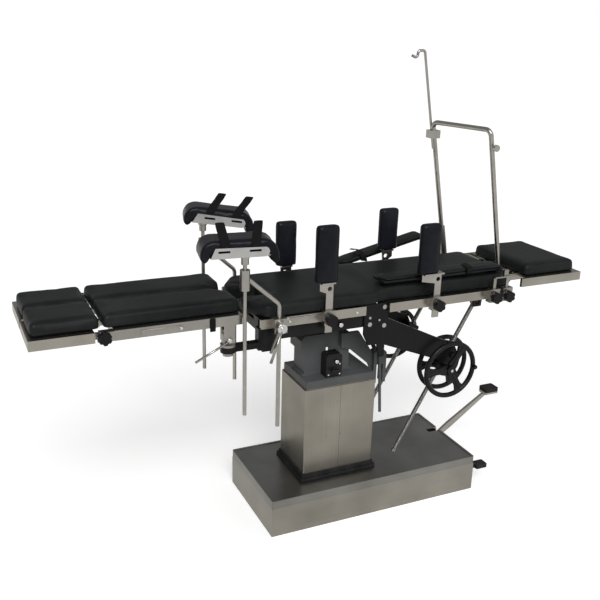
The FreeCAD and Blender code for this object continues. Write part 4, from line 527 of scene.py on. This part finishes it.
def foam_pad(
    name, body, outline, heights, rounding, finish=None, cap=3.0 * MM, edge=EDGE_ROUND, lean=None
):
    """A cushion blank between two heights: rounded, and ready to remesh and swell.

    rounding gives the radius of each upright corner, in the outline's order. lean turns the
    finished pad about a pin that runs along Y, given as its angle and its place in X and Z.
    """
    foot, top = heights
    shape = prism(inset_outline(outline, INSET), foot, top - INSET)
    corners = []
    for (x, y), radius in zip(inset_outline(outline, INSET), rounding):
        for line in shape.edges:
            a, b = line.verts
            upright = abs(a.co.x - b.co.x) + abs(a.co.y - b.co.y) < TINY
            if upright and abs(a.co.x - x) + abs(a.co.y - y) < 10 * TINY:
                corners.append((line, radius))
    for radius in sorted({size for line, size in corners if size}):
        chosen = [line for line, size in corners if size == radius and line.is_valid]
        round_edges(shape, chosen, radius, 6)
    rim = [
        line
        for line in shape.edges
        if all(abs(v.co.z - (top - INSET)) < TINY for v in line.verts)
    ]
    round_edges(shape, rim, edge, 4)
    thing = piece(name, shape, finish or CUSHION_CLOTH, None)
    blanks.append(Blank(thing, body, cap, lean))
    return thing


def over_node(name, node, body, outline, rounding, *rest):
    """A pad that stands for a CAD node and keeps its height."""
    low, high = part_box(node)
    thing = foam_pad(name, body, outline, (low.z, high.z), rounding, *rest)
    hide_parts(node)
    return thing


class Blank:
    """A pad that waits to be swollen."""

    def __init__(self, thing, body, cap, lean):
        self.thing = thing
        self.body = body
        self.cap = cap
        self.lean = lean
        self.bend = None
        self.rise = None


blanks = []


def swell(pads):
    """Swells all blanks as cloth in one run, and keeps each point near where it started."""
    for pad in pads:
        remesh = pad.thing.modifiers.new("even_mesh", "REMESH")
        remesh.mode = "VOXEL"
        remesh.voxel_size = VOXEL
        applied(pad.thing)
    for pad in pads:
        pad.starts = [v.co.copy() for v in pad.thing.data.vertices]
        lowest = min(v.z for v in pad.starts)
        seated = pad.thing.vertex_groups.new(name="seated")
        under = [i for i, v in enumerate(pad.starts) if v.z < lowest + VOXEL]
        seated.add(under, 1.0, "REPLACE")
        cloth = pad.thing.modifiers.new("swell", "CLOTH")
        cloth.settings.use_pressure = True
        cloth.settings.uniform_pressure_force = SWELL_PRESSURE
        cloth.settings.effector_weights.gravity = 0.0
        cloth.settings.vertex_group_mass = "seated"
        cloth.settings.quality = SWELL_STEPS
    scene = bpy.context.scene
    for number in range(1, SWELL_FRAMES + 1):
        scene.frame_set(number)
    for pad in pads:
        applied(pad.thing)
        for vertex, start in zip(pad.thing.data.vertices, pad.starts):
            shift = vertex.co - start
            if shift.length > pad.cap:
                vertex.co = start + shift.normalized() * pad.cap
        pad.thing.vertex_groups.clear()
    scene.frame_set(1)
    for pad in pads:
        shape = bmesh.new()
        shape.from_mesh(pad.thing.data)
        for turn in range(SMOOTHINGS):
            bmesh.ops.smooth_vert(
                shape,
                verts=shape.verts,
                factor=0.5,
                use_axis_x=True,
                use_axis_y=True,
                use_axis_z=True,
            )
        if pad.rise:
            start, end, height = pad.rise
            foot = min(v.co.z for v in shape.verts)
            deep = max(v.co.z for v in shape.verts) - foot
            for vertex in shape.verts:
                share = min(max((vertex.co.x - start) / (end - start), 0), 1)
                share = share * share * (3 - 2 * share)
                vertex.co.z += height * share * (vertex.co.z - foot) / deep
        if pad.lean:
            angle, pin = pad.lean
            bmesh.ops.rotate(
                shape, verts=shape.verts, cent=pin, matrix=Matrix.Rotation(angle, 3, "Y")
            )
        bmesh.ops.recalc_face_normals(shape, faces=shape.faces)
        shape.to_mesh(pad.thing.data)
        shape.free()
        for face in pad.thing.data.polygons:
            face.use_smooth = True
        if pad.bend:
            one, other, start, end = pad.bend
            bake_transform(pad.thing)
        else:
            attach(pad.thing, pad.body)


def millimetres(*points):
    return [(x * MM, y * MM) for x, y in points]


# the seat's and back's pad: X, Y and corner radius along its far side. A joined corner is one of
# the curve's own points, and isn't rounded.
NOTCH = 52
JOINED = 0
TOP_LEFT = [
    (-498, NOTCH, 8),
    (-498, NOTCH * 2, 12),
    (-447, 182, 14),
    (-66, 182, JOINED),
    (-50, 179.5, JOINED),
    (-34, 174, JOINED),
    (-16, 167, JOINED),
    (0, 164.5, JOINED),
    (16, 164, JOINED),
    (540, 164, 26),
]
TOP_RIGHT = [(x, -y, radius) for x, y, radius in reversed(TOP_LEFT)]
NOTCH_END = [(-405, -NOTCH, 20), (-405, NOTCH, 20)]
TOP_CORNERS = TOP_LEFT + TOP_RIGHT + NOTCH_END
TOP_OUTLINE = millimetres(*[(x, y) for x, y, radius in TOP_CORNERS])
TOP_ROUNDING = [radius * MM for x, y, radius in TOP_CORNERS]
seat_low, seat_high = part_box("seat_cushion")
back_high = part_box("back_cushion")[1]

foam_pad(
    "table_top_upholstery",
    "seat",
    TOP_OUTLINE,
    (seat_low.z, seat_high.z),
    TOP_ROUNDING,
)
top_pad = blanks[-1]
top_pad.bend = ("seat", "back", (-52 * MM, 0, seat_low.z), (2 * MM, 0, seat_low.z))
top_pad.rise = (-64 * MM, 6 * MM, back_high.z - seat_high.z)
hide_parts("seat_cushion", "back_cushion")
over_node(
    "head_upholstery",
    "head_cushion",
    "head",
    millimetres((600, -165), (845, -165), (845, 165), (600, 165)),
    [20 * MM] * 4,
)
for name, side in (("near", -1), ("far", 1)):
    over_node(
        f"{name}_leg_upholstery",
        f"{name}_leg_cushion",
        f"{name}_leg",
        millimetres(
            (-965, 2 * side),
            (-965, 165 * side),
            (-525, 165 * side),
            (-525, 47 * side),
            (-570, 2 * side),
        ),
        [v * MM for v in (9, 12, 24, 8, 8)],
    )
    over_node(
        f"{name}_foot_upholstery",
        f"{name}_foot_cushion",
        f"{name}_foot",
        millimetres((-1176, 2 * side), (-1176, 165 * side), (-972, 165 * side), (-972, 2 * side)),
        [10 * MM] * 4,
    )

for name in ("near_seat", "far_seat", "near_back", "far_back"):
    low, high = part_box(f"{name}_support_pad")
    over_node(
        f"{name}_support_upholstery",
        f"{name}_support_pad",
        f"{name}_support",
        [(low.x, low.y), (high.x, low.y), (high.x, high.y), (low.x, high.y)],
        [15 * MM] * 4,
        PAD_CLOTH,
        4.0 * MM,
        10.0 * MM,
    )

# armboards: a thin padded top on a plate, with a lug at the head end that turns on a pin

BOARD_FOOT = 3.8 * MM
BOARD_THICK = 17.0 * MM
BOARD_PLATE = 4.5 * MM
BOARD_WIDE = 84.0 * MM
BOARD_LUG = 9.5 * MM
ARMBOARDS = (
    ("near", Vector((484 * MM, -133 * MM, 880.5 * MM)), 500 * MM, 0.0),
    ("far", Vector((404 * MM, 270 * MM, 907 * MM)), 380 * MM, -math.radians(12.7)),
)
for name, pin, reach, slope in ARMBOARDS:
    tip = pin.x - reach
    head = pin.x + BOARD_LUG
    inner = pin.y - BOARD_WIDE / 2
    outer = pin.y + BOARD_WIDE / 2
    plan = [(tip, inner), (head, inner), (head, outer), (tip, outer)]
    foot = pin.z + BOARD_FOOT
    foam_pad(
        f"{name}_armboard_pad",
        f"{name}_board",
        plan,
        (foot + BOARD_PLATE, foot + BOARD_THICK),
        [36 * MM, 14 * MM, 14 * MM, 36 * MM],
        None,
        2.5 * MM,
        6.0 * MM,
        (slope, pin),
    )
    plate = prism(inset_outline(plan, 1.5 * MM), foot, foot + BOARD_PLATE + 2 * MM)
    upright = [line for line in plate.edges if abs(line.verts[0].co.z - line.verts[1].co.z) > MM]
    round_edges(plate, upright, 13 * MM, 6)
    bmesh.ops.create_cone(
        plate,
        cap_ends=True,
        segments=40,
        radius1=BOARD_LUG,
        radius2=BOARD_LUG,
        depth=BOARD_WIDE - 30 * MM,
        matrix=Matrix.Translation(pin) @ Matrix.Rotation(math.pi / 2, 4, "X"),
    )
    bmesh.ops.rotate(plate, verts=plate.verts, cent=pin, matrix=Matrix.Rotation(slope, 3, "Y"))
    thing = piece(f"{name}_armboard_plate", plate, BLACK_ENAMEL, f"{name}_board", smooth=False)
    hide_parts(f"{name}_armboard")


# leg rests: a flat-topped pad with short drops at both ends, on a steel carrier

POST_X = -532.0 * MM
POST_Y = 205.0 * MM
POST_RADIUS = 6.5 * MM
SOCKET_RADIUS = 12.5 * MM
REST_DEEP = 120.0 * MM
REST_THICK = 46.0 * MM
REST_PROFILE = (
    (-86, 0),
    (74, 0),
    (96, -5),
    (111, -18),
    (119, -38),
    (122, -74),
    (108, -80),
    (96, -66),
    (90, -46),
    (-92, -46),
    (-102, -62),
    (-112, -68),
    (-124, -56),
    (-124, -36),
    (-117, -18),
    (-104, -5),
)
FLANGE_THICK = 2.2 * MM
SLOT_LONG = 36.0 * MM
SLOT_FOOT = 13.0 * MM
SLOT_HIGH = 7.0 * MM


class Rest:
    """A leg rest's own frame, from the middle of the pad's top, with X along the pad."""

    def __init__(self, name, side, middle, turned, tilted, slots):
        self.name = name
        self.side = side
        self.slots = slots
        self.frame = (
            Matrix.Translation(Vector(middle) * MM)
            @ Matrix.Rotation(math.radians(turned), 4, "Z")
            @ Matrix.Rotation(math.radians(tilted), 4, "Y")
        )
        self.body = f"{name}_rest"


def rest_pad(rest):
    """The pad's outline from the side, drawn out across the rest."""
    outline = [(x * MM, z * MM) for x, z in REST_PROFILE]
    shape = prism(outline, -REST_DEEP / 2, REST_DEEP / 2)
    rims = [line for line in shape.edges if abs(line.verts[0].co.z - line.verts[1].co.z) < TINY]
    round_edges(shape, rims, 8 * MM, 3)
    bmesh.ops.transform(
        shape, verts=shape.verts, matrix=rest.frame @ Matrix.Rotation(math.pi / 2, 4, "X")
    )
    thing = piece(f"{rest.name}_leg_rest_pad", shape, PAD_CLOTH, None)
    blanks.append(Blank(thing, rest.body, 3.0 * MM, None))
    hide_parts(f"{rest.name}_leg_rest")


def rest_carrier(rest):
    """A post and its socket, with a plate under the pad."""
    under = rest.frame.translation.z - REST_THICK
    shape = bmesh.new()
    for radius, low, high in (
        (POST_RADIUS, 500 * MM, under - 30 * MM),
        (SOCKET_RADIUS, under - 38 * MM, under - 14 * MM),
        (SOCKET_RADIUS * 1.3, under - 16 * MM, under - 1 * MM),
    ):
        grown = bmesh.ops.create_cone(
            shape,
            cap_ends=True,
            segments=40,
            radius1=radius,
            radius2=radius,
            depth=high - low,
            matrix=Matrix.Translation((POST_X, rest.side * POST_Y, (low + high) / 2)),
        )
        sides = [line for line in shape.edges if line.verts[0] in grown["verts"]]
        rims = [line for line in sides if abs(line.verts[0].co.z - line.verts[1].co.z) < TINY]
        round_edges(shape, rims, 1.5 * MM, 2)
    bmesh.ops.create_cube(
        shape,
        size=1,
        matrix=rest.frame
        @ Matrix.Translation((0, 0, -REST_THICK - 1.5 * MM))
        @ Matrix.Diagonal((184 * MM, REST_DEEP, 3 * MM, 1)),
    )
    thing = piece(f"{rest.name}_leg_rest_carrier", shape, BRIGHT_STEEL, rest.body, smooth=False)


def rest_flange(rest):
    """The upright plate on the pad's near side, with a slot for each strap."""
    shape = bmesh.new()
    corners = [(-92, -4), (78, -4), (86, 2), (89, 12), (86, 21), (79, 26), (-76, 29)]
    shape.faces.new([shape.verts.new((x * MM, 0, z * MM)) for x, z in corners])
    cuts = [((0, 0, SLOT_FOOT), (0, 0, 1)), ((0, 0, SLOT_FOOT + SLOT_HIGH), (0, 0, 1))]
    for centre in rest.slots:
        cuts.append(((centre * MM - SLOT_LONG / 2, 0, 0), (1, 0, 0)))
        cuts.append(((centre * MM + SLOT_LONG / 2, 0, 0), (1, 0, 0)))
    for place, way in cuts:
        whole = shape.verts[:] + shape.edges[:] + shape.faces[:]
        bmesh.ops.bisect_plane(shape, geom=whole, plane_co=place, plane_no=way)
    holes = []
    for face in shape.faces:
        spot = face.calc_center_median()
        if SLOT_FOOT < spot.z < SLOT_FOOT + SLOT_HIGH:
            if any(abs(spot.x - centre * MM) < SLOT_LONG / 2 for centre in rest.slots):
                holes.append(face)
    bmesh.ops.delete(shape, geom=holes, context="FACES")
    bmesh.ops.solidify(shape, geom=shape.faces[:], thickness=FLANGE_THICK)
    place = Matrix.Translation((0, -REST_DEEP / 2 - 4.5 * MM, -REST_THICK))
    bmesh.ops.transform(shape, verts=shape.verts, matrix=rest.frame @ place)
    thing = piece(f"{rest.name}_leg_rest_flange", shape, PLATE_STEEL, rest.body, smooth=False)


NEAR_REST = Rest("near", -1, (-549, -182, 1096), -11, -1.5, (-50, 45))
FAR_REST = Rest("far", 1, (-477, 184, 1106), -15, 7.5, (-34, 58))
for rest in (NEAR_REST, FAR_REST):
    rest_pad(rest)
    rest_carrier(rest)
    rest_flange(rest)

swell(blanks)

# wheels: the cast spokes are flat and widen towards the hub and the rim

SPOKE_THICK = 9.0 * MM
SPOKE_ANGLES = (-90, 30, 150)
SPOKE_HALF = ((0, 19), (26, 19), (48, 12), (72, 12), (90, 19), (99, 21))
DRAWN_RIM = 110.0 * MM
WHEEL_PLANE = {
    "near_handwheel": -200 * MM,
    "far_handwheel": 200 * MM,
    "inner_handwheel": -96 * MM,
}


def wheel_web(wheel, body):
    """Three flat spokes over the wheel's round ones, which a rim at both ends holds."""
    low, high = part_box(wheel)
    rim = (high.z - low.z) / 2
    centre = Vector(((low.x + high.x) / 2, WHEEL_PLANE[wheel], (low.z + high.z) / 2))
    shape = bmesh.new()
    outline = millimetres(*SPOKE_HALF)
    outline += [(x, -y) for x, y in reversed(outline)]
    for angle in SPOKE_ANGLES:
        spoke = prism(outline, -SPOKE_THICK / 2, SPOKE_THICK / 2)
        bmesh.ops.rotate(
            spoke, verts=spoke.verts, cent=(0, 0, 0), matrix=Matrix.Rotation(math.pi / 2, 3, "X")
        )
        bmesh.ops.rotate(
            spoke,
            verts=spoke.verts,
            cent=(0, 0, 0),
            matrix=Matrix.Rotation(math.radians(angle - 90), 3, "Y"),
        )
        bmesh.ops.scale(spoke, verts=spoke.verts, vec=(rim / DRAWN_RIM, 1, rim / DRAWN_RIM))
        bmesh.ops.translate(spoke, verts=spoke.verts, vec=centre)
        web = bpy.data.meshes.new("spoke")
        spoke.to_mesh(web)
        spoke.free()
        shape.from_mesh(web)
        bpy.data.meshes.remove(web)
    thing = piece(f"{wheel}_web", shape, BLACK_ENAMEL, body, smooth=False)


wheel_web("near_handwheel", "near_wheel")
wheel_web("far_handwheel", "far_wheel")
wheel_web("inner_handwheel", "inner_wheel")

# bright fittings: bolt heads and bosses, lock levers and the plates on the rails

HEAD_SUNK = 0.5
DOME_SHARE = 0.45


def bolt_head(name, body, face, radius, deep):
    """A round head with a domed front, on a face that looks towards the near side."""
    x, y, z = (v * MM for v in face)
    shape = bmesh.new()
    bmesh.ops.create_cone(
        shape,
        cap_ends=True,
        segments=32,
        radius1=radius * MM,
        radius2=radius * MM,
        depth=deep * MM,
        matrix=Matrix.Rotation(math.pi / 2, 4, "X"),
    )
    front = [
        line
        for line in shape.edges
        if all(abs(v.co.y + deep * MM / 2) < TINY for v in line.verts)
    ]
    round_edges(shape, front, min(radius, deep) * DOME_SHARE * MM, 3)
    middle = y + (HEAD_SUNK - deep / 2) * MM
    bmesh.ops.translate(shape, verts=shape.verts, vec=(x, middle, z))
    thing = piece(name, shape, CHROME, body)


for name, body, face, radius, deep in (
    ("tilt_lock_knob", "lift", (-140, -89, 585), 8, 12),
    ("tilt_lock_bolt_upper", "lift", (-125, -89, 573), 3.5, 3),
    ("tilt_lock_bolt_lower", "lift", (-125, -89, 535), 4, 4),
    ("tilt_lock_bolt_left", "lift", (-169, -89, 535), 3.5, 3),
    ("seat_beam_bolt", "seat", (-172, -174, 755), 8, 4),
    ("holder_clamp_boss", "seat", (-415, -233.5, 795), 17, 5),
    ("holder_clamp_bolt", "seat", (-415, -237.5, 795), 7, 4),
    ("leg_lock_boss", "near_leg", (-577, -188, 762), 9, 9.5),
    ("near_wheel_nut", "near_wheel", (273, -211, 531), 6, 6),
    ("near_gearbox_bolt", "near_drive", (300, -147.5, 580), 5, 4),
):
    bolt_head(name, body, face, radius, deep)

for name, body, top, foot, radius in (
    ("holder_clamp_lever", "seat", (-418, -236, 786), (-454, -236, 683), 4.2),
    ("leg_lock_lever", "near_leg", (-580, -193.8, 759), (-692, -193.8, 705), 3.4),
):
    top, foot = Vector(top) * MM, Vector(foot) * MM
    lever = bmesh.new()
    bmesh.ops.create_cone(
        lever,
        cap_ends=True,
        segments=24,
        radius1=radius * MM,
        radius2=(radius + 0.6) * MM,
        depth=(foot - top).length,
        matrix=Matrix.Translation((top + foot) / 2)
        @ (foot - top).to_track_quat("Z", "Y").to_matrix().to_4x4(),
    )
    piece(name, lever, BRIGHT_STEEL, body)

RAIL_FACE = 188
RAIL_PLATE_THICK = 3


def rail_plate(name, body, square_end, round_end, low, high):
    """A thin plate on the face of a near rail, with a round end that a screw holds."""
    way = math.copysign(1, round_end - square_end)
    radius = (high - low) / 2
    middle = (high + low) / 2
    outline = [(square_end, high), (square_end, low)]
    for step in range(13):
        turn = math.pi * step / 12
        outline.append(
            (round_end + way * radius * (math.sin(turn) - 1), middle - radius * math.cos(turn))
        )
    face = RAIL_FACE + RAIL_PLATE_THICK
    shape = prism([(x * MM, z * MM) for x, z in outline], RAIL_FACE * MM, face * MM)
    bmesh.ops.rotate(
        shape, verts=shape.verts, cent=(0, 0, 0), matrix=Matrix.Rotation(math.pi / 2, 3, "X")
    )
    front = [line for line in shape.edges if all(v.co.y < TINY - face * MM for v in line.verts)]
    round_edges(shape, front, 0.8 * MM, 2)
    thing = piece(name, shape, SATIN_STEEL, body)
    bolt_head(f"{name}_screw", body, (round_end - way * radius, -face, middle), 4.5, 2.5)


rail_plate("near_leg_rail_plate", "near_leg", -858, -723, 814, 834)
rail_plate("near_seat_rail_plate", "seat", -252, -382, 786, 811)
bolt_head("seat_rail_end_screw", "seat", (-120, -RAIL_FACE, 797), 5, 3)

# straps

STRAP_THICK = 2.2 * MM
STRAP_CREASE = 0.9


def strap(name, body, points, across, wide):
    """A length of webbing along a row of points, given its thickness and smoothed."""
    half = Vector(across).normalized() * wide / 2
    shape = bmesh.new()
    points = [Vector(p) * MM for p in points]
    start = [shape.verts.new(points[0] + half * s) for s in (-1, 1)]
    edge = [shape.edges.new(start)]
    for before, after in zip(points, points[1:]):
        grown = bmesh.ops.extrude_edge_only(shape, edges=edge)["geom"]
        edge = [g for g in grown if isinstance(g, bmesh.types.BMEdge)]
        moved = [g for g in grown if isinstance(g, bmesh.types.BMVert)]
        bmesh.ops.translate(shape, verts=moved, vec=after - before)
    bmesh.ops.recalc_face_normals(shape, faces=shape.faces)
    bmesh.ops.solidify(shape, geom=shape.faces[:], thickness=STRAP_THICK)
    thing = piece(name, shape, STRAP_WEB, body)
    smooth = thing.modifiers.new("smooth", "SUBSURF")
    smooth.levels = 2
    smooth.render_levels = 2
    crease = thing.data.attributes.new("crease_edge", "FLOAT", "EDGE")
    for line in thing.data.edges:
        a, b = (thing.data.vertices[i].co for i in line.vertices)
        if (a - b).length < STRAP_THICK * 1.5:
            crease.data[line.index].value = STRAP_CREASE
    applied(thing)
    for face in thing.data.polygons:
        face.use_smooth = True


# each leg rest strap: its end of the rest, and where it starts and ends along the pad
REST_STRAPS = (
    ("left", NEAR_REST, -46, -60),
    ("right", NEAR_REST, 48, 58),
    ("left", FAR_REST, -34, 0),
    ("right", FAR_REST, 56, 94),
)
for end, rest, foot_x, top_x in REST_STRAPS:
    edge = -REST_DEEP / MM / 2
    route = (
        (foot_x, edge + 2, -36),
        (foot_x, edge - 3, -30),
        (foot_x, edge - 5, -18),
        (foot_x, edge - 3, -2),
        (foot_x + (top_x - foot_x) * 0.3, edge + 4, 16),
        (foot_x + (top_x - foot_x) * 0.7, edge + 9, 38),
        (top_x, edge + 12, 60),
    )
    strap(
        f"{rest.name}_{end}_rest_strap",
        rest.body,
        [(rest.frame @ (Vector(point) * MM)) / MM for point in route],
        rest.frame.to_3x3() @ Vector((1, 0, 0)),
        32 * MM,
    )

strap(
    "near_leg_rail_strap",
    "near_leg",
    [
        (-632, -167, 845),
        (-632, -180, 845),
        (-632, -188.5, 844.5),
        (-632, -190.8, 838),
        (-632, -190.8, 820),
        (-632, -190.8, 808),
        (-632, -190.4, 798),
    ],
    (1, 0, 0),
    21 * MM,
)
strap(
    "near_armboard_strap",
    "near_board",
    [
        (338, -155, 881.5),
        (338, -173, 881),
        (338, -179.5, 886),
        (339, -179, 896),
        (341, -173, 903.5),
        (346, -155, 905),
        (350, -135, 905.5),
        (354, -113, 905.5),
    ],
    (1, 0.15, 0),
    31 * MM,
)
strap(
    "far_armboard_strap",
    "far_board",
    [
        (140, 252, 838),
        (136, 229, 838),
        (132, 222, 848),
        (128, 224, 864),
        (122, 236, 878),
        (116, 256, 884),
        (112, 278, 882),
        (112, 296, 872),
    ],
    (1, 0.1, -0.22),
    30 * MM,
)

# camera, light and floor

FOCAL = 49.25
FILM_WIDE = 36.0
CAMERA_PLACE = Vector((-1.4056, -2.4665, 1.7212))
YAW, PITCH, ROLL = (math.radians(a) for a in (25.18, 18.72, 1.54))

camera_data = bpy.data.cameras.new("camera")
camera_data.lens = FOCAL
camera_data.sensor_width = FILM_WIDE
camera = bpy.data.objects.new("camera", camera_data)
bpy.context.scene.collection.objects.link(camera)
camera.matrix_world = (
    Matrix.Translation(CAMERA_PLACE)
    @ Matrix.Rotation(-YAW, 4, "Z")
    @ Matrix.Rotation(math.pi / 2 - PITCH, 4, "X")
    @ Matrix.Rotation(ROLL, 4, "Z")
)
bpy.context.scene.camera = camera


def softlight(name, place, strength, spread):
    """A broad soft lamp, far enough off to light the whole floor alike."""
    lamp = bpy.data.lights.new(name, "SUN")
    lamp.energy = strength
    lamp.angle = math.radians(spread)
    thing = bpy.data.objects.new(name, lamp)
    bpy.context.scene.collection.objects.link(thing)
    thing.rotation_euler = (-Vector(place)).to_track_quat("-Z", "Y").to_euler()


softlight("key", (-0.9, -3.0, 2.6), 1.9, 35)
softlight("fill", (2.6, -2.4, 1.6), 0.4, 60)

SKY_STRENGTH = 0.27
world = bpy.data.worlds.new("studio")
bpy.context.scene.world = world
world.use_nodes = True
sky = world.node_tree.nodes["Background"]
sky.inputs["Color"].default_value = colour(1.0, 1.0, 1.0)
sky.inputs["Strength"].default_value = SKY_STRENGTH

# the camera sees the backdrop as white, and the table is lit by the softer sky behind it
sight = world.node_tree.nodes.new("ShaderNodeLightPath")
backdrop = world.node_tree.nodes.new("ShaderNodeBackground")
backdrop.inputs["Color"].default_value = colour(1.0, 1.0, 1.0)
backdrop.inputs["Strength"].default_value = 1.0
choose = world.node_tree.nodes.new("ShaderNodeMixShader")
world.node_tree.links.new(sight.outputs["Is Camera Ray"], choose.inputs[0])
world.node_tree.links.new(sky.outputs[0], choose.inputs[1])
world.node_tree.links.new(backdrop.outputs[0], choose.inputs[2])
world_output = world.node_tree.nodes["World Output"]
world.node_tree.links.new(choose.outputs[0], world_output.inputs["Surface"])

# the camera sees a pale floor that takes the shadow, and the metal mirrors a brighter one
FLOOR_REACH = 40.0
floor_shape = bmesh.new()
bmesh.ops.create_grid(floor_shape, x_segments=1, y_segments=1, size=FLOOR_REACH)
floor_finish = Finish("studio_floor")
sight = floor_finish.tree.nodes.new("ShaderNodeLightPath")
to_camera = Socket(floor_finish.tree, sight.outputs["Is Camera Ray"])
in_metal = Socket(floor_finish.tree, sight.outputs["Is Glossy Ray"])
grain = floor_finish.noise(0.8, 2.0)
pale = floor_finish.blend(grain, colour(0.92, 0.92, 0.92), colour(0.94, 0.94, 0.94))
dim = floor_finish.blend(in_metal, colour(0.25, 0.25, 0.25), colour(0.85, 0.84, 0.81))
floor_finish.set(
    base_color=floor_finish.blend(to_camera, dim, pale),
    emission_color=floor_finish.blend(
        to_camera,
        floor_finish.blend(in_metal, colour(0.0, 0.0, 0.0), colour(0.12, 0.12, 0.11)),
        colour(0.42, 0.42, 0.42),
    ),
).constants(Emission_Strength=1.0, Specular_IOR_Level=0.0, Roughness=0.9)
floor = piece("studio_floor", floor_shape, floor_finish, None, smooth=False)

bpy.context.scene.view_settings.view_transform = "Standard"
